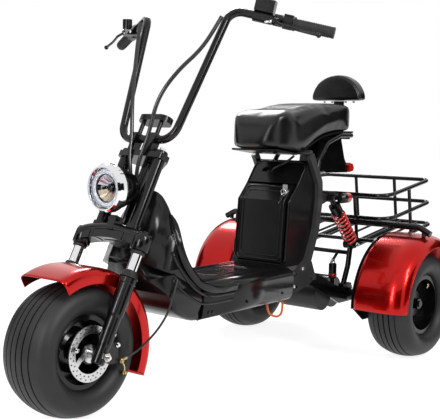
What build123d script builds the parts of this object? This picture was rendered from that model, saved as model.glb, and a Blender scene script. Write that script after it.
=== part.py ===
from build123d import *
import os
from math import radians, sin, cos, tan, hypot

# Electric three-wheel scooter, in millimetres: +X forward, +Y to the rider's left, +Z up.
# Every station is measured from the middle of the rear axle line, at floor level. The
# finished set is centred over its own footprint when it is written out.

# ---------------------------------------------------------------- driving dimensions
WHEELBASE = 1363
TRACK = 786
TYRE_D = 406
FRONT_TYRE_W = 190
REAR_TYRE_W = 176
BEAD_D = 204
RAKE = 28.5
FORK_OFFSET = 45
LEG_SPREAD = 256
LEG_D = 50
LEG_TOP = 243
STANCHION_D = 33
YOKE_Z = 330
UPPER_SPREAD = 144
UPPER_TUBE_D = 38
UPPER_YOKE_Z = 632
HEAD_TUBE_D = 54
STEM_D = 28
BAR_D = 26
GRIP_L = 118
LAMP_D = 152
AXLE_D = 16
DISC_D = 168
MUDGUARD_R = 253
SHEET = 3
DECK_Z = 357
DECK_T = 50
DECK_HALF_W = 150
BOX_HALF_W = 121
SADDLE_HALF_W = 126
BASKET_L = 350
BASKET_W = 520
BASKET_H = 187
BASKET_TILT = 8.5
TUBE_D = 16
FENDER_R = 266
AXLE_TUBE_D = 50
FENDER_IN = 298
SHOCK_Y = 140
RUN = 0.05
SEAT = 0.3

TYRE_R = TYRE_D / 2
BEAD_R = BEAD_D / 2
HALF_TRACK = TRACK / 2

front_hub = Vector(WHEELBASE, 0, TYRE_R)
rake_sin = sin(radians(RAKE))
rake_cos = cos(radians(RAKE))
# Along the fork: local X square to the legs and forward, local Y left, local Z up the legs.
fork = Plane(origin=front_hub, x_dir=(rake_cos, 0, rake_sin), z_dir=(-rake_sin, 0, rake_cos))
steer = Plane(origin=fork.from_local_coords(Vector(-FORK_OFFSET, 0, 0)), x_dir=fork.x_dir, z_dir=fork.z_dir)

pieces = {}


def keep(name, builder):
    """Labels a finished sub-part and lists it for writing."""
    builder.part.label = name
    pieces[name] = builder.part


def fork_at(x, y, z):
    """A plane square to the fork at a point given in the fork's own coordinates."""
    return Plane(origin=fork.from_local_coords(Vector(x, y, z)), x_dir=fork.x_dir, z_dir=fork.z_dir)


def turned(base, outline):
    """A solid turned about the base plane's Z from an outline of (radius, height)."""
    side = Plane(origin=base.origin, x_dir=base.x_dir, z_dir=-base.y_dir)
    with BuildPart() as body:
        with BuildSketch(side):
            with BuildLine():
                Polyline(*outline, close=True)
            make_face()
        revolve(axis=Axis(base.origin, base.z_dir))
    return body.part


def tube(points, radii, diameter):
    """A round bar along straight runs joined by tangent arcs."""
    with BuildPart() as body:
        with BuildLine() as route:
            if radii:
                FilletPolyline(*points, radius=radii)
            else:
                Line(*points)
        with BuildSketch(Plane(origin=route.line @ 0, z_dir=route.line % 0)):
            Circle(diameter / 2)
        sweep(path=route.line)
    return body.part


def slab(outline, half_width, centre_y=0):
    """A plate cut to a side-view outline of (x, z) and centred on a fore-and-aft plane."""
    with BuildPart() as body:
        with BuildSketch(Plane.XZ.offset(-centre_y)):
            with BuildLine():
                Polyline(*outline, close=True)
            make_face()
        extrude(amount=half_width, both=True)
    return body.part


# ---------------------------------------------------------------- wheels
def tyre(centre, width, groove_pitch):
    """A balloon tyre turned about its axle line, with five grooves round the tread."""
    tread_half = 0.36 * width
    bead_half = 0.31 * width
    shoulder_r = TYRE_R - 13
    flank_r = 0.58 * TYRE_R + 0.42 * BEAD_R
    with BuildPart() as ring:
        with BuildSketch(Plane(centre)) as section:
            with BuildLine():
                ThreePointArc((shoulder_r, -tread_half), (TYRE_R, 0), (shoulder_r, tread_half))
                ThreePointArc((shoulder_r, tread_half), (flank_r, width / 2), (BEAD_R + 12, bead_half))
                Polyline((BEAD_R + 12, bead_half), (BEAD_R, bead_half), (BEAD_R, -bead_half), (BEAD_R + 12, -bead_half))
                ThreePointArc((BEAD_R + 12, -bead_half), (flank_r, -width / 2), (shoulder_r, -tread_half))
            make_face()
            fillet(section.vertices().group_by(Axis.X)[-1], radius=8)
            with Locations([(TYRE_R - 2, k * groove_pitch) for k in (-2, -1, 0, 1, 2)]):
                Rectangle(13, 5, mode=Mode.SUBTRACT)
        revolve(axis=Axis(centre, (0, 1, 0)))
    return ring


def rim(centre, width, bore_r, dish, hub_in, hub_out):
    """A steel rim: barrel, bead flanges, dished web and a bored hub; dish is its outer side."""
    half = 0.31 * width
    wall = 5
    barrel_r = BEAD_R - SEAT
    flange_r = BEAD_R + 8
    web = dish * (half - 50)
    lip = dish * (half - 34)
    with BuildPart() as wheel:
        with BuildSketch(Plane(centre)):
            with Locations((barrel_r - wall / 2, 0)):
                Rectangle(wall, 2 * half + 8)
            with Locations([((barrel_r - wall + flange_r) / 2, s * (half + 2.6)) for s in (-1, 1)]):
                Rectangle(flange_r - barrel_r + wall, 4.6)
            with BuildLine():
                Polyline(
                    (30, lip), (48, lip), (70, web), (barrel_r - 1, web),
                    (barrel_r - 1, web - dish * 7), (67, web - dish * 7), (45, lip - dish * 8), (30, lip - dish * 8),
                    close=True,
                )
            make_face()
            with BuildLine():
                Polyline((bore_r, dish * hub_out), (32, dish * hub_out), (32, -dish * hub_in), (bore_r, -dish * hub_in), close=True)
            make_face()
        revolve(axis=Axis(centre, (0, 1, 0)))
    return wheel


keep("front_tyre", tyre(front_hub, FRONT_TYRE_W, 24))
DISC_Y = 88
keep("front_rim", rim(front_hub, FRONT_TYRE_W, AXLE_D / 2 + RUN, 1, 62, DISC_Y - 2.3))

for side, mark in ((1, "left"), (-1, "right")):
    rear_hub = Vector(0, side * HALF_TRACK, TYRE_R)
    keep(f"rear_{mark}_tyre", tyre(rear_hub, REAR_TYRE_W, 22))
    keep(f"rear_{mark}_rim", rim(rear_hub, REAR_TYRE_W, 12 + RUN, side, 62, 20))

# Brake disc: a drilled ring on five swept arms, bolted to the left end of the front hub.
disc_plane = Plane(origin=front_hub + Vector(0, DISC_Y + 2, 0), x_dir=(1, 0, 0), z_dir=(0, 1, 0))
with BuildPart() as brake_disc:
    with BuildSketch(disc_plane):
        Circle(DISC_D / 2)
        Circle(DISC_D / 2 - 25, mode=Mode.SUBTRACT)
        Circle(27)
        with PolarLocations(0, 5):
            with BuildLine():
                ThreePointArc((22, -7), (45, 4), (62, 30))
                Line((62, 30), (55, 41))
                ThreePointArc((55, 41), (38, 20), (20, 9))
                Line((20, 9), (22, -7))
            make_face()
        Circle(AXLE_D / 2 + 2, mode=Mode.SUBTRACT)
        with PolarLocations(DISC_D / 2 - 7, 24):
            Circle(2.5, mode=Mode.SUBTRACT)
        with PolarLocations(DISC_D / 2 - 17, 24, start_angle=7.5):
            Circle(2.5, mode=Mode.SUBTRACT)
    extrude(amount=-4)
keep("front_brake_disc", brake_disc)

# ---------------------------------------------------------------- fork
LEG_Y = LEG_SPREAD / 2
LEG_R = LEG_D / 2
STANCHION_R = STANCHION_D / 2
LEG_BORE = 70
leg_outline = [
    (0, -26), (17, -26), (20, -22), (20, 26), (LEG_R - 3, 36), (LEG_R - 3, 118), (LEG_R, 128),
    (LEG_R, LEG_TOP - 20), (LEG_R + 2, LEG_TOP - 18), (LEG_R + 2, LEG_TOP - 3), (LEG_R - 1, LEG_TOP),
    (STANCHION_R + SEAT, LEG_TOP), (STANCHION_R + SEAT, LEG_TOP - LEG_BORE), (0, LEG_TOP - LEG_BORE),
]
with BuildPart() as fork_legs:
    add(turned(fork_at(0, LEG_Y, 0), leg_outline))
    with BuildSketch(Plane.XZ):
        with Locations((WHEELBASE, TYRE_R)):
            Circle(AXLE_D / 2 + SEAT)
    extrude(amount=-2 * LEG_Y, mode=Mode.SUBTRACT)
    mirror(about=Plane.XZ)
keep("fork_legs", fork_legs)

stanchion_foot = LEG_TOP - LEG_BORE + SEAT
with BuildPart() as stanchions:
    with BuildSketch(fork_at(0, LEG_Y, stanchion_foot)):
        Circle(STANCHION_R)
    extrude(amount=YOKE_Z + 44 - stanchion_foot)
    mirror(about=Plane.XZ)
keep("fork_stanchions", stanchions)

# Front axle with its spacers and hexagon nuts.
AXLE_HALF = LEG_Y + 40
with BuildPart() as front_axle:
    with BuildSketch(Plane.XZ.offset(-AXLE_HALF)):
        with Locations((WHEELBASE, TYRE_R)):
            Circle(AXLE_D / 2)
    extrude(amount=2 * AXLE_HALF)
    for start, end in ((DISC_Y + 3, LEG_Y - 20.5), (-63, 20.5 - LEG_Y)):
        with BuildSketch(Plane.XZ.offset(-start)):
            with Locations((WHEELBASE, TYRE_R)):
                Circle(13)
        extrude(amount=start - end)
    for start, end in ((LEG_Y + 20.5, LEG_Y + 33), (-LEG_Y - 20.5, -LEG_Y - 33)):
        with BuildSketch(Plane.XZ.offset(-start)):
            with Locations((WHEELBASE, TYRE_R)):
                RegularPolygon(14, 6)
        extrude(amount=start - end)
keep("front_axle", front_axle)

# Arched lower yoke: it clamps both stanchions, carries the upper tubes and holds the stem.
yoke_face = Plane(origin=fork.from_local_coords(Vector(-22, 0, 0)), x_dir=fork.y_dir, z_dir=fork.x_dir)
UPPER_Y = UPPER_SPREAD / 2
UPPER_R = UPPER_TUBE_D / 2
STEM_R = STEM_D / 2
with BuildPart() as lower_yoke:
    with BuildSketch(yoke_face):
        with BuildLine():
            ThreePointArc((-LEG_Y, YOKE_Z + 36), (0, YOKE_Z + 54), (LEG_Y, YOKE_Z + 36))
            Line((LEG_Y, YOKE_Z + 36), (LEG_Y, YOKE_Z + 8))
            ThreePointArc((LEG_Y, YOKE_Z + 8), (0, YOKE_Z + 24), (-LEG_Y, YOKE_Z + 8))
            Line((-LEG_Y, YOKE_Z + 8), (-LEG_Y, YOKE_Z + 36))
        make_face()
    extrude(amount=44)
    for y in (-LEG_Y, LEG_Y):
        with BuildSketch(fork_at(0, y, YOKE_Z)):
            Circle(LEG_R)
        extrude(amount=52)
    for y in (-UPPER_Y, UPPER_Y):
        with BuildSketch(fork_at(0, y, YOKE_Z + 20)):
            Circle(UPPER_R + 6)
        extrude(amount=56)
    with BuildSketch(steer.offset(YOKE_Z + 22)):
        Circle(32)
        with Locations((FORK_OFFSET / 2, 0)):
            Rectangle(FORK_OFFSET, 64)
    extrude(amount=32)
    for y in (-LEG_Y, LEG_Y):
        with BuildSketch(fork_at(0, y, YOKE_Z)):
            Circle(STANCHION_R + SEAT)
        extrude(amount=46 + SEAT, mode=Mode.SUBTRACT)
    for y in (-UPPER_Y, UPPER_Y):
        with BuildSketch(fork_at(0, y, YOKE_Z + 46)):
            Circle(UPPER_R + SEAT)
        extrude(amount=40, mode=Mode.SUBTRACT)
    # The stem is pressed into the yoke and turns in the head tube; the lamp hangs from its bracket.
    with BuildSketch(steer.offset(YOKE_Z + 22)):
        Circle(STEM_R)
    extrude(amount=UPPER_YOKE_Z + 24 - YOKE_Z - 22)
    with BuildSketch(fork_at(14, 0, YOKE_Z + 50)):
        Rectangle(30, 30)
    extrude(amount=46)
    with BuildSketch(Plane(origin=fork.from_local_coords(Vector(18, -24, YOKE_Z + 87)), x_dir=fork.x_dir, z_dir=(0, 1, 0))):
        Circle(7)
    extrude(amount=48)
keep("lower_yoke", lower_yoke)

CAP_TOP = UPPER_YOKE_Z + 30
with BuildPart() as upper_tubes:
    with BuildSketch(fork_at(0, UPPER_Y, YOKE_Z + 46 + SEAT)):
        Circle(UPPER_R)
    extrude(amount=CAP_TOP - YOKE_Z - 46 - SEAT)
    with BuildSketch(fork_at(0, UPPER_Y, UPPER_YOKE_Z + 20 + SEAT)):
        Circle(UPPER_R + 1.5)
    extrude(amount=7)
    mirror(about=Plane.XZ)
keep("upper_fork_tubes", upper_tubes)

BAR_X = 16
BAR_Z = 696
with BuildPart() as upper_yoke:
    with BuildSketch(fork_at(0, 0, UPPER_YOKE_Z)):
        with BuildLine():
            Polyline(
                (24, -UPPER_Y - 20), (30, -30), (30, 30), (24, UPPER_Y + 20), (-20, UPPER_Y + 22),
                (-FORK_OFFSET - 24, 30), (-FORK_OFFSET - 24, -30), (-20, -UPPER_Y - 22), close=True,
            )
        make_face()
        fillet(vertices(), radius=12)
        with Locations((0, -UPPER_Y), (0, UPPER_Y)):
            Circle(UPPER_R + SEAT, mode=Mode.SUBTRACT)
        with Locations((-FORK_OFFSET, 0)):
            Circle(STEM_R + SEAT, mode=Mode.SUBTRACT)
    extrude(amount=20)
    for y in (-38, 38):
        with BuildSketch(fork_at(BAR_X, y, UPPER_YOKE_Z + 20)):
            Rectangle(30, 24)
        extrude(amount=BAR_Z + 18 - UPPER_YOKE_Z - 20)
    with BuildSketch(Plane(origin=fork.from_local_coords(Vector(BAR_X, -60, BAR_Z)), x_dir=fork.x_dir, z_dir=(0, 1, 0))):
        Circle(BAR_D / 2 + SEAT)
    extrude(amount=120, mode=Mode.SUBTRACT)
keep("upper_yoke", upper_yoke)

# ---------------------------------------------------------------- handlebar
bar_centre = fork.from_local_coords(Vector(BAR_X, 0, BAR_Z))
BAR_FOOT_Y = 112
bar_bend = Vector(848, 180, 1235)
bar_tip = Vector(697, 463, 1162)


def across(v):
    """The same point on the rider's right."""
    return Vector(v.X, -v.Y, v.Z)


bar_foot = Vector(bar_centre.X, BAR_FOOT_Y, bar_centre.Z)
bar_points = [across(bar_tip), across(bar_bend), across(bar_foot), bar_foot, bar_bend, bar_tip]
with BuildPart() as handlebar:
    add(tube(bar_points, [48, 55, 55, 48], BAR_D))
keep("handlebar", handlebar)

# Along the left grip: local X inward from the bar's tip, local Y forward, local Z up.
grip_run = (bar_bend - bar_tip).normalized()
grip_up = (Vector(0, 0, 1) - grip_run * Vector(0, 0, 1).dot(grip_run)).normalized()
hand = Plane(origin=bar_tip, x_dir=grip_run, z_dir=grip_up)


def hand_at(x, y=0, z=0):
    """A plane square to the bar, looking inward, at a point given along the left grip."""
    return Plane(origin=hand.from_local_coords(Vector(x, y, z)), x_dir=hand.y_dir, z_dir=grip_run)


with BuildPart() as grips:
    with BuildSketch(hand_at(0)):
        Circle(BAR_D / 2 + 4.5)
        Circle(BAR_D / 2 + SEAT, mode=Mode.SUBTRACT)
    extrude(amount=GRIP_L)
    with BuildSketch(hand_at(GRIP_L)):
        Circle(BAR_D / 2 + 9)
        Circle(BAR_D / 2 + SEAT, mode=Mode.SUBTRACT)
    extrude(amount=5)
    with BuildSketch(hand_at(-SEAT)):
        Circle(BAR_D / 2 + 5)
    extrude(amount=-8)
    mirror(about=Plane.XZ)
keep("grips", grips)

PERCH_X = 160
with BuildPart() as left_controls:
    with BuildSketch(hand_at(PERCH_X)):
        Circle(BAR_D / 2 + 6)
        with Locations((26, -8)):
            Rectangle(34, 22)
        Circle(BAR_D / 2 + SEAT, mode=Mode.SUBTRACT)
    extrude(amount=26)
    with BuildSketch(hand_at(GRIP_L + 8)):
        Circle(BAR_D / 2 + 9)
        with Locations((0, 14)):
            Rectangle(32, 20)
        Circle(BAR_D / 2 + SEAT, mode=Mode.SUBTRACT)
    extrude(amount=30)
with BuildPart() as controls:
    add(left_controls.part)
    with BuildSketch(hand_at(PERCH_X + 32)):
        with Locations((0, 36)):
            Rectangle(46, 40)
        Circle(BAR_D / 2 + 6)
        Circle(BAR_D / 2 + SEAT, mode=Mode.SUBTRACT)
    extrude(amount=62)
    add(left_controls.part.mirror(Plane.XZ))
    right_tank = Plane(origin=across(hand.from_local_coords(Vector(PERCH_X + 13, 30, 4))), z_dir=(0, 0, 1))
    with BuildSketch(right_tank):
        Circle(17)
    extrude(amount=34)
keep("bar_controls", controls)

lever_points = [(PERCH_X + 13, 47.4, -12), (PERCH_X - 12, 60, -16), (PERCH_X - 70, 62, -20), (PERCH_X - 130, 70, -22)]
lever_route = [hand.from_local_coords(Vector(*p)) for p in lever_points]
with BuildPart() as brake_levers:
    add(tube(lever_route, [14, 40], 9))
    with Locations(lever_route[-1]):
        Sphere(8)
    mirror(about=Plane.XZ)
keep("brake_levers", brake_levers)

# Display on its two posts above the bar clamps.
with BuildPart() as display:
    with BuildSketch(fork_at(4, 0, 760)):
        SlotOverall(126, 54, rotation=90)
    extrude(amount=20)
    for y in (-38, 38):
        with BuildSketch(fork_at(BAR_X, y, BAR_Z + 18 + SEAT)):
            Circle(7)
        extrude(amount=760 - BAR_Z - 18 - SEAT)
keep("display", display)

# ---------------------------------------------------------------- headlight
lamp_back = Plane(origin=(1104, 0, 675), x_dir=(0, 1, 0), z_dir=(1, 0, 0))
LAMP_R = LAMP_D / 2
with BuildPart() as lamp_shell:
    add(turned(lamp_back, [
        (0, 0), (20, 0), (36, 6), (47, 20), (56, 40), (64, 62), (LAMP_R - 7, 85), (LAMP_R - 6, 104),
        (LAMP_R - 9, 104), (LAMP_R - 10, 86), (61, 64), (53, 42), (44, 23), (34, 10), (19, 4), (0, 4),
    ]))
keep("headlight_shell", lamp_shell)
with BuildPart() as lamp_ring:
    add(turned(lamp_back, [
        (LAMP_R - 5.7, 92), (LAMP_R - 2, 92), (LAMP_R, 98), (LAMP_R, 112), (LAMP_R - 3, 124), (LAMP_R - 8, 130),
        (LAMP_R - 12, 130), (LAMP_R - 12, 126), (LAMP_R - 8, 122), (LAMP_R - 5.7, 110),
    ]))
keep("headlight_ring", lamp_ring)
with BuildPart() as lamp_lens:
    add(turned(lamp_back, [(0, 130), (36, 128), (LAMP_R - 12.5, 122), (LAMP_R - 9, 119), (LAMP_R - 9, 116), (36, 122), (0, 124)]))
keep("headlight_lens", lamp_lens)
with BuildPart() as reflector:
    add(turned(lamp_back, [
        (0, 30), (24, 32), (44, 50), (56, 78), (LAMP_R - 10, 100), (LAMP_R - 9.3, 115.7), (LAMP_R - 13, 115.7),
        (52, 80), (40, 54), (22, 38), (22, 72), (16, 80), (0, 83),
    ]))
keep("headlight_reflector", reflector)

# ---------------------------------------------------------------- head tube and front cover
HEAD_FOOT = YOKE_Z + 57
with BuildPart() as head_tube:
    with BuildSketch(steer.offset(HEAD_FOOT)):
        Circle(HEAD_TUBE_D / 2)
        Circle(STEM_R + RUN, mode=Mode.SUBTRACT)
    extrude(amount=UPPER_YOKE_Z - 3 - HEAD_FOOT)
keep("head_tube", head_tube)

SEAM_X = 930
DECK_BASE = DECK_Z - DECK_T
cover_side = [
    (SEAM_X, 234), (1005, 236), (1040, 246), (1066, 272), (1078, 312), (1095, 345), (1136, 392), (1156, 432),
    (1160, 499), (1150, 540), (1105, 605), (1076, 653), (1056, 664), (1030, 660), (1016, 638), (1016, 600),
    (1026, 545), (1024, 490), (1005, 436), (975, 390), (940, 361), (940, DECK_BASE + SEAT), (SEAM_X, DECK_BASE + SEAT),
]
cover_front = [
    (120, 234), (148, 256), (152, 308), (147, 420), (138, 510), (121, 566), (98, 612), (72, 645), (48, 664),
]
with BuildPart() as front_cover:
    with BuildSketch(Plane.XZ):
        with BuildLine():
            Polyline(*cover_side, close=True)
        make_face()
    extrude(amount=160, both=True)
    with BuildSketch(Plane.YZ):
        with BuildLine():
            Polyline(*cover_front, *[(-y, z) for y, z in reversed(cover_front)], close=True)
        make_face()
    extrude(amount=1300, mode=Mode.INTERSECT)
    with BuildSketch(steer.offset(-150)):
        with BuildLine():
            Polyline(
                (40, -26), (40, 26), (16, 46), (-75, 86), (-124, 156), (-420, 156),
                (-420, -156), (-124, -156), (-75, -86), (16, -46), close=True,
            )
        make_face()
    extrude(amount=900, mode=Mode.INTERSECT)
    with BuildSketch(steer.offset(HEAD_FOOT - 4)):
        Circle(HEAD_TUBE_D / 2 + SEAT)
    extrude(amount=260, mode=Mode.SUBTRACT)
    # Room for the yoke and its stem boss through the whole steering range.
    with BuildSketch(steer.offset(YOKE_Z - 9)):
        with BuildLine():
            Polyline(
                (11, 0), (-3, 26), (-17, 46), (-45, 86), (-62, 110), (-94, 160), (60, 160),
                (60, -160), (-94, -160), (-62, -110), (-45, -86), (-17, -46), (-3, -26), close=True,
            )
        make_face()
    extrude(amount=68, mode=Mode.SUBTRACT)
    with BuildSketch(steer.offset(YOKE_Z + 14)):
        Circle(38)
    extrude(amount=47, mode=Mode.SUBTRACT)
keep("front_cover", front_cover)

# ---------------------------------------------------------------- floor
BELLY_REAR = 430
belly_section = [(0, 234), (120, 234), (148, 256), (155, 303), (155, DECK_BASE), (0, DECK_BASE)]
with BuildPart() as belly_pan:
    with BuildSketch(Plane.YZ.offset(BELLY_REAR)):
        with BuildLine():
            Polyline(*belly_section, *[(-y, z) for y, z in reversed(belly_section[1:-1])], close=True)
        make_face()
    extrude(amount=SEAM_X - SEAT - BELLY_REAR)
keep("belly_pan", belly_pan)

deck_side = [
    (BELLY_REAR, DECK_BASE + SEAT), (940 - SEAT, DECK_BASE + SEAT), (940 - SEAT, 362), (915, DECK_Z + 2),
    (880, DECK_Z), (BELLY_REAR, DECK_Z),
]
with BuildPart() as footboard:
    add(slab(deck_side, DECK_HALF_W))
    with BuildSketch(Plane.XY.offset(DECK_Z - 4)):
        with Locations([(655, y) for y in (-96, -48, 0, 48, 96)]):
            SlotOverall(360, 14)
    extrude(amount=10, mode=Mode.SUBTRACT)
keep("footboard", footboard)

# ---------------------------------------------------------------- seat box, door and battery
BOX_FOOT_X = 437
box_front = [(BOX_FOOT_X, DECK_Z + SEAT), (417, 594), (366, 650), (300, 741)]
box_back = [(268, 722), (250, 660), (246, 600), (270, 486), (316, 374), (330, DECK_Z + SEAT)]
WALL = 4
LEAN = (437 - 417) / (594 - 357)
hinge = Plane(origin=(BOX_FOOT_X + 9, 10.5 - BOX_HALF_W, DECK_Z + 16), x_dir=(0, -1, 0), z_dir=(-LEAN, 0, 1))
PIN_R = 2.5
KNUCKLE_R = 6
with BuildPart() as battery_box:
    add(slab(box_front + box_back, BOX_HALF_W))
    inner = [
        (BOX_FOOT_X + 9, DECK_Z + 10), (426, 598), (371, 660), (356, 656), (297, 732),
        (275, 718), (257, 660), (253, 602), (277, 488), (322, 377), (334, DECK_Z + 10),
    ]
    with BuildSketch(Plane.XZ):
        with BuildLine():
            Polyline(*inner, close=True)
        make_face()
    extrude(amount=BOX_HALF_W - WALL - 8, both=True, mode=Mode.SUBTRACT)
    for station in (20, 160):
        with BuildSketch(hinge.offset(station)):
            Circle(KNUCKLE_R)
            with Locations((0, -6)):
                Rectangle(KNUCKLE_R * 2, 12)
        extrude(amount=20)
    with BuildSketch(hinge.offset(20)):
        Circle(PIN_R)
    extrude(amount=160)
    # Recess for the charging lead, with its socket at the bottom.
    with BuildSketch(Plane(origin=(333, -22, 695.5), x_dir=(0, 1, 0), z_dir=(0.81, 0, 0.587))):
        RectangleRounded(110, 46, 12)
    extrude(amount=-16)
    with BuildSketch(Plane(origin=(333, -22, 695.5), x_dir=(0, 1, 0), z_dir=(0.81, 0, 0.587))):
        RectangleRounded(104, 40, 10)
    extrude(amount=-12, mode=Mode.SUBTRACT)
keep("battery_box", battery_box)

battery_outline = [(404, DECK_Z + 10 + SEAT), (388, 566), (284, 566), (296, 480), (338, DECK_Z + 10 + SEAT)]
with BuildPart() as battery:
    add(slab(battery_outline, 88))
keep("battery", battery)

# The door bends with the front of the box; it turns on the right-hand edge.
DOOR_HALF_W = 104
door_face = [(BOX_FOOT_X - 1.4, DECK_Z + 16), (417, 594), (370, 646)]
with BuildPart() as door:
    with BuildSketch(Plane.XZ):
        with BuildLine():
            Polyline(*door_face, (376, 651), (425, 597), (BOX_FOOT_X + 6.6, DECK_Z + 16), close=True)
        make_face()
    extrude(amount=DOOR_HALF_W, both=True)
    for station in (40.5, 129.5):
        with BuildSketch(hinge.offset(station)):
            Circle(KNUCKLE_R)
            with Locations((-5.5, -4)):
                Rectangle(11, 4)
        extrude(amount=30)
        with BuildSketch(hinge.offset(station)):
            Circle(PIN_R + RUN)
        extrude(amount=30, mode=Mode.SUBTRACT)
keep("battery_door", door)

lock_face = Plane(origin=(397, 88, 627.5), x_dir=(0, 1, 0), z_dir=(0.742, 0, 0.67))
with BuildPart() as door_lock:
    with BuildSketch(lock_face.offset(SEAT)):
        Circle(11)
    extrude(amount=5)
    with BuildSketch(lock_face.offset(5)):
        Circle(6)
    extrude(amount=5)
    with BuildSketch(Plane(origin=lock_face.from_local_coords(Vector(0, 0, 10)), x_dir=(0, 1, 0), z_dir=(0, 0, 1))):
        Rectangle(20, 2.4)
    extrude(amount=22, both=False)
keep("door_lock", door_lock)

# ---------------------------------------------------------------- saddle and its carriers
HOOP_Y = BOX_HALF_W + 8 + SEAT
hoop_line = [(384, 322), (312, 368), (263, 481), (243, 596), (246, 660), (292, 738), (306, 762)]
with BuildPart() as side_hoops:
    with BuildSketch(Plane.XZ.offset(-HOOP_Y)):
        with BuildLine():
            FilletPolyline(*hoop_line, radius=28)
        trace(line_width=30)
    extrude(amount=8, both=True)
    # Swing arm pivot plate and bolt head.
    with BuildSketch(Plane.XZ.offset(-HOOP_Y - 4)):
        with BuildLine():
            Polyline(
                (312, 366), (BELLY_REAR - SEAT, 306), (BELLY_REAR - SEAT, 262), (380, 262), (276, 292),
                (272, 322), (292, 366), close=True,
            )
        make_face()
    extrude(amount=4, both=True)
    with BuildSketch(Plane.XZ.offset(-HOOP_Y - 8)):
        with Locations((290, 308)):
            RegularPolygon(12, 6)
    extrude(amount=-13)
    # Upper shock bracket, pin and nut.
    with BuildSketch(Plane.XZ.offset(-HOOP_Y + 3)):
        with BuildLine():
            Polyline((252, 628), (178, 611), (165, 603), (165, 593), (178, 586), (252, 566), close=True)
        make_face()
    extrude(amount=2.4, both=True)
    with BuildSketch(Plane.XZ.offset(-HOOP_Y + 3)):
        with Locations((176, 597)):
            Circle(5)
    extrude(amount=-32)
    with BuildSketch(Plane.XZ.offset(-SHOCK_Y - 11.5)):
        with Locations((176, 597)):
            RegularPolygon(9, 6)
    extrude(amount=-8)
    mirror(about=Plane.XZ)
    with BuildSketch(Plane.XZ.offset(-HOOP_Y)):
        with Locations((300, 772)):
            Circle(9)
    extrude(amount=2 * HOOP_Y)
keep("side_hoops", side_hoops)

saddle_under = [
    (-30, 851), (60, 851), (110, 847), (180, 836), (233, 818), (300, 789), (358, 770.5), (430, 779.5), (480, 786),
]
PAN_T = 7
with BuildPart() as saddle_pan:
    with BuildSketch(Plane.XZ):
        with BuildLine():
            Polyline(
                *[(x, z - SEAT) for x, z in saddle_under],
                *[(x, z - SEAT - PAN_T) for x, z in reversed(saddle_under)], close=True,
            )
        make_face()
    extrude(amount=104, both=True)
keep("saddle_pan", saddle_pan)

RAIL_Z = 851 - PAN_T - 2 * SEAT - 9
tail_outline = [(110, 836), (-40, 836), (-72, 742), (-98, 704), (-98, 682), (60, 686), (140, 702)]
with BuildPart() as tail_bracket:
    add(slab(tail_outline, 40))
    for side in (1, -1):
        add(tube(
            [(238, side * 112, 672), (206, side * 100, 742), (150, side * 100, 806), (60, side * 100, RAIL_Z),
             (-24, side * 100, RAIL_Z)], [40, 40, 40], 18,
        ))
        add(tube([(238, side * 112, 640), (150, side * 60, 690), (60, side * 30, 692)], [60], 14))
    with BuildSketch(Plane.XZ.offset(-100)):
        with Locations((-8, 826)):
            Circle(7)
    extrude(amount=200)
    # The back-rest post, bent from one strip that lies on the bracket.
    with BuildSketch(Plane.XZ):
        with BuildLine():
            FilletPolyline((54, 839.7), (-84, 839.7), (-84, 971.7), radius=14)
        trace(line_width=8)
    extrude(amount=22, both=True)
keep("tail_bracket", tail_bracket)

saddle_side = [
    (520, 789), (512, 830), (499, 872), (480, 906), (450, 918), (370, 928), (290, 943), (200, 953), (100, 957),
    (20, 953), (-24, 936), (-46, 900), (-46, 872), (-30, 851),
]
with BuildPart() as saddle:
    with BuildSketch(Plane.XZ):
        with BuildLine():
            Spline(*saddle_side[3:])
            Polyline(*saddle_under, (505, 788), *saddle_side[:4])
        make_face()
    extrude(amount=SADDLE_HALF_W, both=True)
    with BuildSketch(Plane.XY.offset(700)):
        with BuildLine():
            Polyline((-50, -126), (522, -126), (522, 126), (-50, 126), close=True)
        make_face()
        fillet(vertices().group_by(Axis.X)[-1], radius=105)
        fillet(vertices().group_by(Axis.X)[0], radius=95)
    extrude(amount=400, mode=Mode.INTERSECT)
keep("saddle", saddle)

with BuildPart() as backrest:
    with BuildSketch(Plane.YZ.offset(-112)):
        with Locations((0, 972)):
            Ellipse(119, 106)
        with Locations((0, 972)):
            Rectangle(260, 120, align=(Align.CENTER, Align.MAX), mode=Mode.SUBTRACT)
    extrude(amount=64)
keep("backrest", backrest)

# ---------------------------------------------------------------- rear suspension and lamps
SHOCK_LEAN = (167, 0, 193)
SHOCK_L = hypot(167, 193)
shock_foot = Plane(origin=(9, SHOCK_Y, 404), x_dir=(0, 1, 0), z_dir=SHOCK_LEAN)
with BuildPart() as shocks:
    add(turned(shock_foot, [
        (0, 12), (10, 12), (10, 18), (26, 18), (26, 23), (14, 23), (14, 96), (7, 96), (7, SHOCK_L - 74),
        (23, SHOCK_L - 74), (23, SHOCK_L - 38), (10, SHOCK_L - 34), (10, SHOCK_L - 12), (0, SHOCK_L - 12),
    ]))
    for along in (0, 1):
        with BuildSketch(Plane.XZ.offset(-SHOCK_Y)):
            with Locations((9 + 167 * along, 404 + 193 * along)):
                Circle(15)
                Circle(5 + SEAT, mode=Mode.SUBTRACT)
        extrude(amount=11, both=True)
    # The short inner damper stands on the arm's cross plate.
    add(turned(Plane((45, 72, 231.5 + SEAT)), [(0, 0), (9, 0), (9, 34), (16, 34), (16, 92), (7, 92), (7, 112), (0, 112)]))
    add(tube([(45, 72, 338), (4, 72, 372)], [], 12))
    mirror(about=Plane.XZ)
keep("shock_bodies", shocks)

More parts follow.
